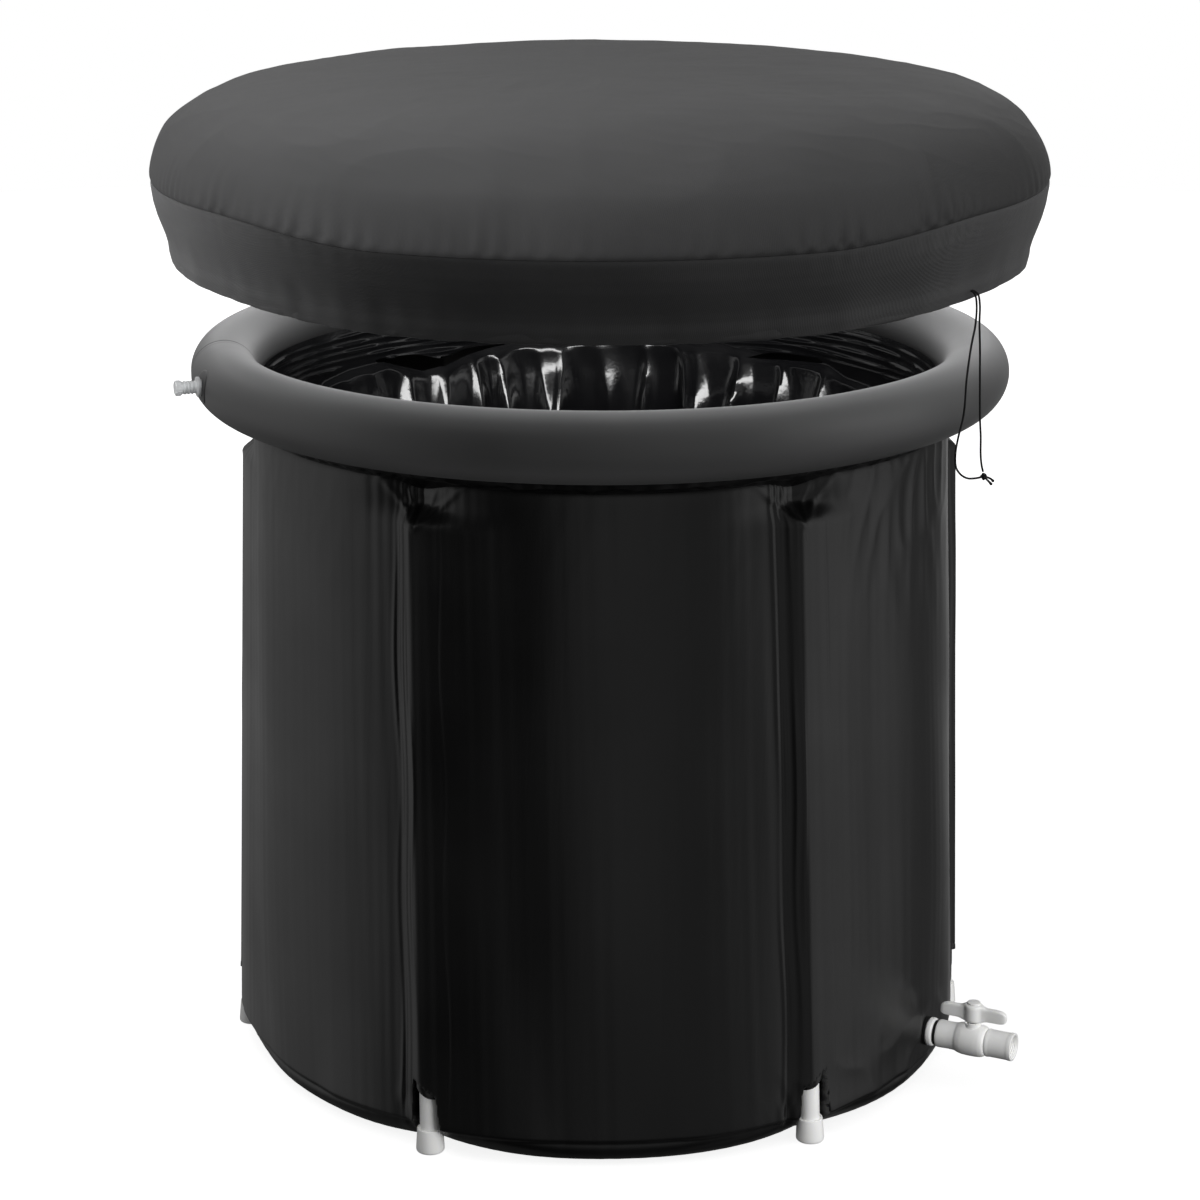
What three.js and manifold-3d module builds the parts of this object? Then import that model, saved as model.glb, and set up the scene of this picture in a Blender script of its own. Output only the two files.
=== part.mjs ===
// Cold plunge tub: a soft PVC tub on pipe legs, with an inflated rim, a drain valve and a drawstring cover.
// Millimetres, +Z up. The origin is the middle of the base, on the ground. The drain points along +X.
import * as THREE from "three";
import { mergeVertices } from "three/addons/utils/BufferGeometryUtils.js";
import Module from "manifold-3d";

const wasm = await Module();
wasm.setup();

// Gap between two pieces that touch.
const FIT = 0.3;
// How far a cutting tool, or a joined block, runs past the face that it meets.
const OVERRUN = 1;

// Legs: plastic pipes that spread towards the ground and lean a little where the rim has turned on them.
const LEG_COUNT = 6;
const LEG_CIRCLE_GROUND = 375;
const LEG_CIRCLE_TOP = 354;
const LEG_TURN = THREE.MathUtils.degToRad(-2);
const LEG_FIRST = THREE.MathUtils.degToRad(-90);
const PIPE_TOP = 614;
const PIPE_RADIUS = 10;
const PIPE_WALL = 2;
const PIPE_SIDES = 12;
const PLUG_HEAD = 4;
const PLUG_DEPTH = 14;
const FOOT_RADIUS = 14;
const FOOT_TOP_RADIUS = 12.7;
const FOOT_RIM = 4;
const FOOT_FLOOR = 4;
const FOOT_HEIGHT = 24;

// Sleeves: pockets sewn on the wall, each round one leg, with a slanted mouth above the foot.
const SLEEVE_CLOTH = 1.5;
const SLEEVE_MOUTH = 55;
const SLEEVE_SLANT = 0.55;
const SLEEVE_WING = 15;
const SLEEVE_ARC_STEPS = 8;

// Wall: outer sheet, foam and liner. Between the legs it swells, and behind each leg it is drawn in.
const WALL_CLOTH = 1.5;
const WALL_CORNER = 22;
const CORNER_STEPS = 3;
const SWELL_GROUND = 0.5;
const SWELL_MIDDLE = 7;
const SWELL_RISE = 250;
const PANEL_FULLNESS = 3;
const PANEL_SHARES = [0, 0.042, 0.15, 0.29, 0.433, 0.567, 0.71, 0.85, 0.958];
const WALL_FOAM = 5;
const BASE_CLOTH = 1.5;
const FLOOR_FOAM = 5;
const LINER_CLOTH = 1.2;
const LINER_SLACK = 1.2;
const LINER_RIM_GAP = 1.6;
const FOLD_COUNT = 16;
const FOLD_DEPTH = 11;
const FOLD_START = 110;
const FOLD_SHARPNESS = 2;
const FOLD_DRIFT = [
  { size: 1.4, count: 3 },
  { size: 0.8, count: 5 },
];
const RIM_FOLDS = 0.3;
const BAND_CLOTH = 2;
const BAND_HEIGHT = 69;
const BAND_INSET = 18;
const BAND_ROUND = 26;
const BAND_DRAWN = 0.45;

// Rim: an inflated ring with its air valve on the left of the drain.
const RING_CIRCLE = 381;
const RING_TUBE = 33.6;
const RING_SKIN = 1;
const RING_STEPS = 44;
const TUBE_STEPS = 12;
const AIR_VALVE_ANGLE = THREE.MathUtils.degToRad(-134);
const AIR_VALVE_LIFT = 4;
const AIR_PATCH_RADIUS = 17;
const AIR_PATCH_SKIN = 1;
const AIR_STEM_RADIUS = 6.5;
const AIR_STEM_BORE = 4;
const AIR_STEM_LENGTH = 18;
const AIR_COLLAR_RADIUS = 10;
const AIR_COLLAR = 3;
const AIR_PLUG_RADIUS = 7.5;
const AIR_PLUG_HEAD = 6;
const AIR_PLUG_PIN = 12;
const AIR_SIDES = 14;

// Drain: a fitting clamped through the wall, with a ball valve screwed on it.
const DRAIN_HEIGHT = 51;
const DRAIN_SIDES = 16;
const DRAIN_BORE = 7;
const NIPPLE_RADIUS = 10;
const NIPPLE_REACH = 15;
const FLANGE_RADIUS = 20;
const FLANGE_THICK = 4;
const GASKET_RADIUS = 17;
const GASKET_THICK = 2;
const NUT_RADIUS = 14.8;
const NUT_LENGTH = 7;
const GROOVE_RING_RADIUS = 13;
const GROOVE_RING_WIDTH = 3;
const VALVE_RADIUS = 14.5;
const SOCKET_LENGTH = 22;
const HOUSING_RADIUS = 17;
const HOUSING_HALF = 15;
const HOUSING_FLAT = 5;
const HOUSING_WALL = 3;
const HOUSING_BEVEL = 1;
const OUTLET_LENGTH = 29;
const OUTLET_SOCKET_RADIUS = 11.5;
const OUTLET_SOCKET_DEPTH = 16;
const BALL_RADIUS = 11.5;
const BALL_STEPS = 6;
const SEAT_THICK = 1.5;
const STEM_RADIUS = 4;
const STEM_KEY = 3;
const STEM_KEY_DEPTH = 3;
const STEM_KEY_LENGTH = 7;
const COLLAR_RADIUS = 8.5;
const COLLAR_HEIGHT = 20;
const STEM_SEAL_RADIUS = 6;
const STEM_SEAL_HEIGHT = 3;
const HUB_RADIUS = 9.5;
const HANDLE_LENGTH = 72;
const HANDLE_HEIGHT = 16;
const HANDLE_WIDTH = 7;
const HANDLE_END_RADIUS = 6;
const HANDLE_END_STEPS = 4;
const HUB_HEIGHT = 19;
const HUB_SOCKET = 10;
const CAP_RADIUS = 7;
const CAP_HEIGHT = 2;

// Cover: a crowned fabric lid held above the rim, with a foam sheet inside and a drawstring in its hem.
const COVER_SIDES = 48;
const COVER_CLOTH = 2;
const COVER_HEM_HEIGHT = 832;
const COVER_BAND_HEIGHT = 64;
const COVER_SEAM_RADIUS = 448;
const COVER_CROWN = 100;
const COVER_SHOULDER = 6.5;
const COVER_TOP_STEPS = 8;
const COVER_FOAM = 6;
const COVER_FOAM_RISE = 31;
const COVER_DRAW_IN = 18;
const HEM_CLOTH = 1.5;
const HEM_CHANNEL = 6;
const HEM_HEIGHT = 18;
const CORD_RADIUS = 1;
const CORD_SIDES = 8;
const RUN_SIDES = 5;
const CORD_ANGLE = THREE.MathUtils.degToRad(-9.9);
const CORD_CHANNEL_RISE = 6;
const CORD_DROP = 3;
const CORD_STEP = 6;
const CORD_PLANE = 437;
const CORD_HOLE_RADIUS = 3.2;
const KNOT_RADIUS = 4.2;
const KNOT_TAIL = 18;
const KNOT_TAIL_FALL = THREE.MathUtils.degToRad(30);
const KNOT_STEPS = 5;
const KNOT_SIDES = 10;

// Finishes.
const FINISH = {
  wall: { color: 0x121214, roughness: 0.42, metalness: 0 },
  liner: { color: 0x0c0c0d, roughness: 0.14, metalness: 0 },
  ring: { color: 0x2b2b2d, roughness: 0.5, metalness: 0 },
  cover: { color: 0x17171a, roughness: 0.85, metalness: 0 },
  foam: { color: 0xd9dadb, roughness: 0.9, metalness: 0 },
  plastic: { color: 0xf2f2f0, roughness: 0.35, metalness: 0 },
  clear: { color: 0xdfe4e6, roughness: 0.15, metalness: 0 },
  rubber: { color: 0x101011, roughness: 0.7, metalness: 0 },
  cord: { color: 0x0e0e10, roughness: 0.85, metalness: 0 },
};
const materials = Object.fromEntries(
  Object.entries(FINISH).map(([name, look]) => [name, new THREE.MeshStandardMaterial(look)]),
);

const tub = new THREE.Group();

function add(name, geometry, material, parent = tub) {
  const mesh = new THREE.Mesh(geometry, materials[material]);
  mesh.name = name;
  parent.add(mesh);
  return mesh;
}

// Solids and booleans

function bare(geometry) {
  const plain = new THREE.BufferGeometry();
  plain.setAttribute("position", geometry.getAttribute("position").clone());
  if (geometry.index) plain.setIndex(geometry.index.clone());
  return mergeVertices(plain, 1e-3);
}

function solidOf(geometry) {
  const plain = bare(geometry);
  const vertProperties = new Float32Array(plain.getAttribute("position").array);
  const triVerts = new Uint32Array(plain.index.array);
  return new wasm.Manifold(new wasm.Mesh({ numProp: 3, vertProperties, triVerts }));
}

function geometryOf(solid) {
  const mesh = solid.getMesh();
  const geometry = new THREE.BufferGeometry();
  geometry.setAttribute("position", new THREE.BufferAttribute(new Float32Array(mesh.vertProperties), 3));
  geometry.setIndex(new THREE.BufferAttribute(new Uint32Array(mesh.triVerts), 1));
  return geometry;
}

function cut(geometry, ...tools) {
  return geometryOf(tools.reduce((solid, tool) => solid.subtract(solidOf(tool)), solidOf(geometry)));
}

function join(geometry, ...others) {
  return geometryOf(others.reduce((solid, other) => solid.add(solidOf(other)), solidOf(geometry)));
}

// Turns the faces round where the enclosed volume comes out negative.
function facingOut(geometry) {
  const plain = bare(geometry);
  const p = plain.getAttribute("position");
  const order = plain.index.array;
  const [a, b, c] = [new THREE.Vector3(), new THREE.Vector3(), new THREE.Vector3()];
  let volume = 0;
  for (let i = 0; i < order.length; i += 3) {
    a.fromBufferAttribute(p, order[i]);
    b.fromBufferAttribute(p, order[i + 1]);
    c.fromBufferAttribute(p, order[i + 2]);
    volume += a.dot(b.cross(c));
  }
  if (volume < 0) order.reverse();
  return plain;
}

// A closed outline of [radius, height] points turned about Z.
// An outline that meets the axis starts and ends on it.
function spinZ(outline, sides) {
  const points = outline.map(([r, h]) => new THREE.Vector2(r, h));
  if (outline[0][0] > 0) points.push(points[0].clone());
  return facingOut(new THREE.LatheGeometry(points, sides).rotateX(Math.PI / 2));
}

// The same outline turned about X, with its heights along X.
function spinX(outline, sides) {
  return spinZ(outline, sides).rotateY(Math.PI / 2);
}

function tubeOutline(inner, outer, low, high) {
  return [[inner, low], [outer, low], [outer, high], [inner, high]];
}

function rodOutline(radius, low, high) {
  return [[0, low], [radius, low], [radius, high], [0, high]];
}

// Skins a list of rings of points. A looped list closes on its first ring. Any other gets flat ends.
// Each quad is split from its lower corner up, so that two skins that lie on each other split alike.
function loft(rings, looped) {
  const count = rings[0].length;
  const points = rings.flat();
  const faces = [];
  const bands = looped ? rings.length : rings.length - 1;
  for (let i = 0; i < bands; i++) {
    const low = i * count;
    const high = ((i + 1) % rings.length) * count;
    const rising = points[low].z <= points[high].z;
    for (let j = 0; j < count; j++) {
      const k = (j + 1) % count;
      if (rising) faces.push(low + j, low + k, high + k, low + j, high + k, high + j);
      else faces.push(low + j, low + k, high + j, low + k, high + k, high + j);
    }
  }
  if (!looped) {
    [rings[0], rings.at(-1)].forEach((ring, last) => {
      const middle = ring.reduce((sum, p) => sum.add(p), new THREE.Vector3()).divideScalar(count);
      const start = last ? (rings.length - 1) * count : 0;
      points.push(middle);
      for (let j = 0; j < count; j++) {
        const edge = [start + j, start + ((j + 1) % count)];
        if (!last) edge.reverse();
        faces.push(...edge, points.length - 1);
      }
    });
  }
  const geometry = new THREE.BufferGeometry().setFromPoints(points);
  geometry.setIndex(faces);
  return facingOut(geometry);
}

function direction(angle) {
  return new THREE.Vector3(Math.cos(angle), Math.sin(angle), 0);
}

// Body shape: every height is a round slice that follows the legs

const LEG_STEP = (2 * Math.PI) / LEG_COUNT;
const WALL_VALLEY = FOOT_RADIUS + 2 * FIT;
const PLUG_TOP = PIPE_TOP + PLUG_HEAD;
const SLEEVE_TOP = PLUG_TOP + FIT + SLEEVE_CLOTH;
const BAND_LOW = SLEEVE_TOP + FIT;
const BAND_HIGH = BAND_LOW + BAND_HEIGHT;
// The rim rests on the upper edge of the hem band.
const RING_HEIGHT = BAND_HIGH + Math.sqrt(RING_TUBE ** 2 - BAND_INSET ** 2) + 2 * FIT;

function legLine(angle, height) {
  const ground = direction(angle).multiplyScalar(LEG_CIRCLE_GROUND);
  const top = direction(angle + LEG_TURN).multiplyScalar(LEG_CIRCLE_TOP);
  return ground.lerp(top, height / PIPE_TOP).setZ(height);
}

// How far the wall stands outside the circle of leg centres: drawn in at a leg, swollen between two legs.
function wallOffset(angle, height) {
  const turn = THREE.MathUtils.euclideanModulo(angle - LEG_FIRST, LEG_STEP) / LEG_STEP;
  const share = 1 - Math.abs(1 - 2 * turn);
  const rise = Math.sin((Math.PI / 2) * Math.min(1, height / SWELL_RISE));
  const swell = SWELL_GROUND + (SWELL_MIDDLE - SWELL_GROUND) * rise;
  return -WALL_VALLEY + (WALL_VALLEY + swell) * (1 - (1 - share) ** PANEL_FULLNESS);
}

// A point of the wall, set in from its outer face.
function wallPoint(angle, height, inset) {
  return legLine(angle, height).addScaledVector(direction(angle), wallOffset(angle, height) - inset);
}

const panelAngles = [...Array(LEG_COUNT).keys()].flatMap((leg) =>
  PANEL_SHARES.map((share) => LEG_FIRST + (leg + share) * LEG_STEP),
);

// One ring for each [height, inset] of a profile.
function wallRings(profile, angles = panelAngles) {
  return profile.map(([height, inset]) => angles.map((angle) => wallPoint(angle, height, inset)));
}

// The rounded lower edge, from the base up, as [height, inset] pairs.
function cornerProfile(depth) {
  return [...Array(CORNER_STEPS + 1).keys()].map((step) => {
    const turn = (step / CORNER_STEPS) * (Math.PI / 2);
    const radius = WALL_CORNER - depth;
    return [WALL_CORNER - radius * Math.cos(turn), WALL_CORNER - radius * Math.sin(turn)];
  });
}

const DRAIN_HOLE = NIPPLE_RADIUS + 2 * FIT;
const drainHole = spinX(rodOutline(DRAIN_HOLE, LEG_CIRCLE_TOP / 2, RING_CIRCLE + RING_TUBE), DRAIN_SIDES);
drainHole.translate(0, 0, DRAIN_HEIGHT);

const wallLevels = [SWELL_RISE / 2, SWELL_RISE, SLEEVE_TOP];
const outerProfile = [...cornerProfile(0), ...wallLevels.map((height) => [height, 0])];
const innerProfile = [...cornerProfile(WALL_CLOTH), ...wallLevels.map((height) => [height, WALL_CLOTH])];
const wallSkin = loft(wallRings([...outerProfile, ...innerProfile.reverse()]), true);
add("outer_wall", cut(wallSkin, drainHole), "wall");

const FOAM_OUT = WALL_CLOTH + FIT;
const FOAM_IN = FOAM_OUT + WALL_FOAM;
const foamLevels = [WALL_CORNER, ...wallLevels];
const foamOut = foamLevels.map((height) => [height, FOAM_OUT]);
const foamIn = foamLevels.map((height) => [height, FOAM_IN]).reverse();
add("wall_foam", cut(loft(wallRings([...foamOut, ...foamIn]), true), drainHole), "foam");

const baseEdge = WALL_CORNER + FIT;
add("base_sheet", loft(wallRings([[0, baseEdge], [BASE_CLOTH, baseEdge]]), false), "wall");
const floorFoamLow = BASE_CLOTH + FIT;
const floorFoamHigh = floorFoamLow + FLOOR_FOAM;
const floorFoam = wallRings([[floorFoamLow, baseEdge], [floorFoamHigh, baseEdge]]);
add("floor_foam", loft(floorFoam, false), "foam");

// Liner: a loose bag whose wall hangs from the rim in uneven upright folds.
const linerFloor = floorFoamHigh + FIT;
const linerTop = RING_HEIGHT - RING_TUBE / 4;
const linerInset = FOAM_IN + LINER_SLACK;
const linerRimRadius = RING_CIRCLE - RING_TUBE - LINER_RIM_GAP;
function foldDepth(angle, height) {
  const drift = FOLD_DRIFT.reduce((sum, { size, count }) => sum + size * Math.sin(count * angle), 0);
  const wave = Math.cos(FOLD_COUNT * angle + drift);
  const rise = THREE.MathUtils.smoothstep(height, FOLD_START, SLEEVE_TOP);
  return FOLD_DEPTH * rise * ((1 + wave) / 2) ** FOLD_SHARPNESS;
}

// A ring with a point added in the middle of each side, then drawn in by the folds and by an inset.
function foldedRing(ring, folds, inset) {
  const finer = ring.flatMap((point, j) => [point, point.clone().lerp(ring[(j + 1) % ring.length], 0.5)]);
  return finer.map((point) => {
    const angle = Math.atan2(point.y, point.x);
    return point.addScaledVector(direction(angle), -inset - folds * foldDepth(angle, point.z));
  });
}

function linerRing(height, inset) {
  return foldedRing(panelAngles.map((angle) => wallPoint(angle, height, linerInset)), 1, inset);
}

function linerRimRing(cloth) {
  const ring = panelAngles.map((angle) => direction(angle).multiplyScalar(linerRimRadius).setZ(linerTop));
  return foldedRing(ring, RIM_FOLDS, cloth);
}

const linerCorner = [[linerFloor, WALL_CORNER + FIT - linerInset], [linerFloor + WALL_CORNER, 0]];
const linerOut = [...linerCorner, [FOLD_START, 0], [BAND_LOW, 0]];
const linerRings = [
  ...linerOut.map(([height, inset]) => linerRing(height, inset)),
  linerRimRing(0),
  linerRimRing(LINER_CLOTH),
  ...linerOut.map(([height, inset]) => linerRing(height, inset + LINER_CLOTH)).reverse(),
];
for (const point of linerRings.at(-1)) point.z += LINER_CLOTH;
add("inner_liner", cut(loft(linerRings, false), drainHole), "liner");

// Hem band: from the wall to the under side of the rim, round above and drawn in over each leg below.
const bandTopRadius = RING_CIRCLE - BAND_INSET;

function bandRing(height, drawn, cloth) {
  return panelAngles.map((angle) => {
    const lobed = wallPoint(angle, height, cloth);
    const round = direction(angle).multiplyScalar(bandTopRadius - cloth).setZ(height);
    return round.lerp(lobed, drawn);
  });
}

const bandLevels = [[BAND_LOW, 1], [BAND_LOW + BAND_ROUND, BAND_DRAWN], [BAND_HIGH, 0]];
const bandOut = bandLevels.map(([height, drawn]) => bandRing(height, drawn, 0));
const bandIn = bandLevels.map(([height, drawn]) => bandRing(height, drawn, BAND_CLOTH)).reverse();
add("top_hem_band", loft([...bandOut, ...bandIn], true), "wall");

// Legs, each in a frame with X outwards, Y along the wall and a lean that follows the wall

const legRun = legLine(0, PIPE_TOP).sub(legLine(0, 0));
const leanX = legRun.x / PIPE_TOP;
const leanY = legRun.y / PIPE_TOP;
const lean = new THREE.Matrix4().set(1, 0, leanX, 0, 0, 1, leanY, 0, 0, 0, 1, 0, 0, 0, 0, 1);
const pipeFoot = FOOT_FLOOR + FIT;
const pipeSocket = PIPE_RADIUS + FIT;

// Section of a sleeve: a round front over the pipe, two wings, and a back that lies on the wall.
function sleeveSection() {
  const front = pipeSocket + SLEEVE_CLOTH;
  const back = FIT - WALL_VALLEY;
  const wingAngle = LEG_FIRST + SLEEVE_WING / LEG_CIRCLE_TOP;
  const wing = wallOffset(wingAngle, PIPE_TOP) + 2 * FIT;
  const shape = new THREE.Shape();
  shape.moveTo(back, 0);
  shape.lineTo(wing, -SLEEVE_WING);
  shape.lineTo(wing + SLEEVE_CLOTH, -SLEEVE_WING);
  for (let step = 0; step <= SLEEVE_ARC_STEPS; step++) {
    const turn = (-0.5 + step / SLEEVE_ARC_STEPS) * Math.PI;
    shape.lineTo(front * Math.cos(turn), front * Math.sin(turn));
  }
  shape.lineTo(wing + SLEEVE_CLOTH, SLEEVE_WING);
  shape.lineTo(wing, SLEEVE_WING);
  shape.closePath();
  return shape;
}

function sleeve(side) {
  const length = SLEEVE_TOP - SLEEVE_MOUTH;
  const blank = bare(new THREE.ExtrudeGeometry(sleeveSection(), { depth: length, bevelEnabled: false }));
  const places = blank.getAttribute("position");
  for (let i = 0; i < places.count; i++) {
    const slant = places.getZ(i) < length / 2 ? side * SLEEVE_SLANT * places.getY(i) : 0;
    places.setZ(i, places.getZ(i) + SLEEVE_MOUTH + slant);
  }
  return cut(blank, spinZ(rodOutline(pipeSocket, 0, PLUG_TOP + FIT), PIPE_SIDES));
}

const pipe = spinZ(tubeOutline(PIPE_RADIUS - PIPE_WALL, PIPE_RADIUS, pipeFoot, PIPE_TOP - FIT), PIPE_SIDES);
const foot = spinZ(
  [
    [0, 0],
    [FOOT_RADIUS, 0],
    [FOOT_RADIUS, FOOT_RIM],
    [FOOT_TOP_RADIUS, FOOT_HEIGHT],
    [pipeSocket, FOOT_HEIGHT],
    [pipeSocket, FOOT_FLOOR],
    [0, FOOT_FLOOR],
  ],
  PIPE_SIDES,
);
const plugPin = PIPE_RADIUS - PIPE_WALL - FIT;
const plug = spinZ(
  [
    [0, PIPE_TOP - PLUG_DEPTH],
    [plugPin, PIPE_TOP - PLUG_DEPTH],
    [plugPin, PIPE_TOP],
    [PIPE_RADIUS, PIPE_TOP],
    [PIPE_RADIUS, PIPE_TOP + PLUG_HEAD / 2],
    [PIPE_RADIUS - PLUG_HEAD / 2, PLUG_TOP],
    [0, PLUG_TOP],
  ],
  PIPE_SIDES,
);
for (let leg = 0; leg < LEG_COUNT; leg++) {
  const angle = LEG_FIRST + leg * LEG_STEP;
  const stand = new THREE.Group();
  stand.position.copy(legLine(angle, 0));
  stand.rotation.z = angle;
  tub.add(stand);
  const side = leg % 2 ? 1 : -1;
  add(`leg_pipe_${leg + 1}`, pipe.clone().applyMatrix4(lean), "plastic", stand);
  add(`foot_cap_${leg + 1}`, foot.clone().applyMatrix4(lean), "plastic", stand);
  add(`leg_plug_${leg + 1}`, plug.clone().applyMatrix4(lean), "plastic", stand);
  add(`leg_sleeve_${leg + 1}`, sleeve(side).applyMatrix4(lean), "wall", stand);
}

// Rim

const airAngle = Math.asin(AIR_VALVE_LIFT / RING_TUBE);
const airSeat = RING_CIRCLE + RING_TUBE * Math.cos(airAngle);
const airHole = AIR_STEM_RADIUS + 2 * FIT;

function tubeOfRing(radius, steps, around) {
  const section = [...Array(around).keys()].map((step) => {
    const turn = (step / around) * 2 * Math.PI;
    return [RING_CIRCLE + radius * Math.cos(turn), RING_HEIGHT + radius * Math.sin(turn)];
  });
  return spinZ(section, steps);
}

const airTool = spinX(rodOutline(airHole, RING_CIRCLE, RING_CIRCLE + 2 * RING_TUBE), AIR_SIDES);
airTool.rotateZ(AIR_VALVE_ANGLE).translate(0, 0, RING_HEIGHT + AIR_VALVE_LIFT);
const ringAir = tubeOfRing(RING_TUBE - RING_SKIN, RING_STEPS, TUBE_STEPS);
add("air_ring", cut(tubeOfRing(RING_TUBE, RING_STEPS, TUBE_STEPS), ringAir, airTool), "ring");

// Patch: a round sheet wrapped on the tube, as rings of points round the valve.
function patchRing(radius, lift) {
  return [...Array(AIR_SIDES).keys()].map((step) => {
    const turn = (step / AIR_SIDES) * 2 * Math.PI;
    const along = AIR_VALVE_ANGLE + (radius * Math.cos(turn)) / airSeat;
    const round = airAngle + (radius * Math.sin(turn)) / RING_TUBE;
    const reach = RING_CIRCLE + (RING_TUBE + lift) * Math.cos(round);
    const height = RING_HEIGHT + (RING_TUBE + lift) * Math.sin(round);
    return direction(along).multiplyScalar(reach).setZ(height);
  });
}

const patchRadii = [airHole, (airHole + AIR_PATCH_RADIUS) / 2, AIR_PATCH_RADIUS];
const patchTop = FIT + AIR_PATCH_SKIN;
const patchRings = [
  ...patchRadii.map((radius) => patchRing(radius, patchTop)),
  ...patchRadii.map((radius) => patchRing(radius, FIT)).reverse(),
];
add("air_valve_patch", loft(patchRings, true), "ring");

const airValve = new THREE.Group();
airValve.rotation.z = AIR_VALVE_ANGLE;
airValve.position.z = RING_HEIGHT + AIR_VALVE_LIFT;
tub.add(airValve);
const airCollar = airSeat + patchTop + FIT;
const airMouth = airCollar + AIR_STEM_LENGTH;
const airStem = [
  [AIR_STEM_BORE, airSeat - RING_SKIN - AIR_COLLAR],
  [AIR_STEM_RADIUS, airSeat - RING_SKIN - AIR_COLLAR],
  [AIR_STEM_RADIUS, airCollar],
  [AIR_COLLAR_RADIUS, airCollar],
  [AIR_COLLAR_RADIUS, airCollar + AIR_COLLAR],
  [AIR_STEM_RADIUS, airCollar + AIR_COLLAR],
  [AIR_STEM_RADIUS, airMouth],
  [AIR_STEM_BORE, airMouth],
];
add("air_valve_stem", spinX(airStem, AIR_SIDES), "clear", airValve);
const airPlugHead = airMouth + FIT;
const airPlug = [
  [0, airMouth - AIR_PLUG_PIN],
  [AIR_STEM_BORE - FIT, airMouth - AIR_PLUG_PIN],
  [AIR_STEM_BORE - FIT, airPlugHead],
  [AIR_PLUG_RADIUS, airPlugHead],
  [AIR_PLUG_RADIUS, airPlugHead + AIR_PLUG_HEAD],
  [0, airPlugHead + AIR_PLUG_HEAD],
];
add("air_valve_plug", spinX(airPlug, AIR_SIDES), "clear", airValve);

// Drain, in a frame at the height of its bore with X outwards

const drain = new THREE.Group();
drain.position.z = DRAIN_HEIGHT;
tub.add(drain);
const flatEdge = (0.5 - Math.max(...PANEL_SHARES.filter((share) => share < 0.5))) * LEG_STEP;
function flatPlace(inset) {
  const edges = [flatEdge, -flatEdge].map((angle) => wallPoint(angle, DRAIN_HEIGHT, inset));
  return edges[0].lerp(edges[1], 0.5).x;
}
const wallFace = flatPlace(0);
const linerFace = flatPlace(linerInset) - LINER_CLOTH;
const innerGasketBack = linerFace - 3 * FIT;
const flangeBack = innerGasketBack - GASKET_THICK - FIT;
const outerGasketFace = wallFace + 2 * FIT;
const nutFace = outerGasketFace + GASKET_THICK + FIT;
const grooveFace = nutFace + NUT_LENGTH + FIT;
const socketFace = grooveFace + GROOVE_RING_WIDTH + FIT;
const housingFace = socketFace + SOCKET_LENGTH;
const stemX = housingFace + HOUSING_HALF;
const outletFace = stemX + HOUSING_HALF + FIT;
const outletEnd = outletFace + OUTLET_LENGTH;
const nippleEnd = socketFace + NIPPLE_REACH;

const flange = [
  [DRAIN_BORE, flangeBack - FLANGE_THICK],
  [FLANGE_RADIUS, flangeBack - FLANGE_THICK],
  [FLANGE_RADIUS, flangeBack],
  [NIPPLE_RADIUS, flangeBack],
  [NIPPLE_RADIUS, nippleEnd],
  [DRAIN_BORE, nippleEnd],
];
add("drain_flange", spinX(flange, DRAIN_SIDES), "plastic", drain);
const nippleClear = NIPPLE_RADIUS + FIT;
function washer(radius, from, thick) {
  return spinX(tubeOutline(nippleClear, radius, from, from + thick), DRAIN_SIDES);
}
const innerGasket = washer(GASKET_RADIUS, innerGasketBack - GASKET_THICK, GASKET_THICK);
add("drain_inner_gasket", innerGasket, "rubber", drain);
add("drain_outer_gasket", washer(NUT_RADIUS, outerGasketFace, GASKET_THICK), "rubber", drain);
add("drain_lock_nut", washer(NUT_RADIUS, nutFace, NUT_LENGTH), "plastic", drain);
add("drain_groove_ring", washer(GROOVE_RING_RADIUS, grooveFace, GROOVE_RING_WIDTH), "rubber", drain);

// Valve body: a socket, a round housing that holds the ball, and a collar for the stem.
const housingBore = BALL_RADIUS + FIT;
const socketBore = NIPPLE_RADIUS + FIT;
const seatFace = stemX - BALL_RADIUS - SEAT_THICK;
const housingEnd = outletFace - FIT;
const bodyOutline = [
  [socketBore, socketFace],
  [VALVE_RADIUS, socketFace],
  [VALVE_RADIUS, housingFace],
  [HOUSING_RADIUS - HOUSING_BEVEL, housingFace + HOUSING_WALL],
  [HOUSING_RADIUS, stemX - HOUSING_FLAT],
  [HOUSING_RADIUS, stemX + HOUSING_FLAT],
  [HOUSING_RADIUS - HOUSING_BEVEL, housingEnd - HOUSING_WALL],
  [VALVE_RADIUS, housingEnd],
  [housingBore, housingEnd],
  [housingBore, seatFace],
  [DRAIN_BORE, seatFace],
  [DRAIN_BORE, nippleEnd + FIT],
  [socketBore, nippleEnd + FIT],
];
const atStem = (geometry) => geometry.translate(stemX, 0, 0);
const collarOutline = rodOutline(COLLAR_RADIUS, HOUSING_RADIUS - HOUSING_WALL, COLLAR_HEIGHT);
const collar = atStem(spinZ(collarOutline, DRAIN_SIDES));
const stemHole = atStem(spinZ(rodOutline(STEM_RADIUS + FIT, 0, COLLAR_HEIGHT + OVERRUN), DRAIN_SIDES));
const sealSeat = COLLAR_HEIGHT - STEM_SEAL_HEIGHT - FIT;
const sealRoom = rodOutline(STEM_SEAL_RADIUS + FIT, sealSeat, COLLAR_HEIGHT + OVERRUN);
const sealHole = atStem(spinZ(sealRoom, DRAIN_SIDES));
const ballRoom = spinX(rodOutline(housingBore, seatFace, housingEnd + OVERRUN), DRAIN_SIDES);
const valveBody = cut(join(spinX(bodyOutline, DRAIN_SIDES), collar), ballRoom, stemHole, sealHole);
add("drain_valve_body", valveBody, "plastic", drain);

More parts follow.
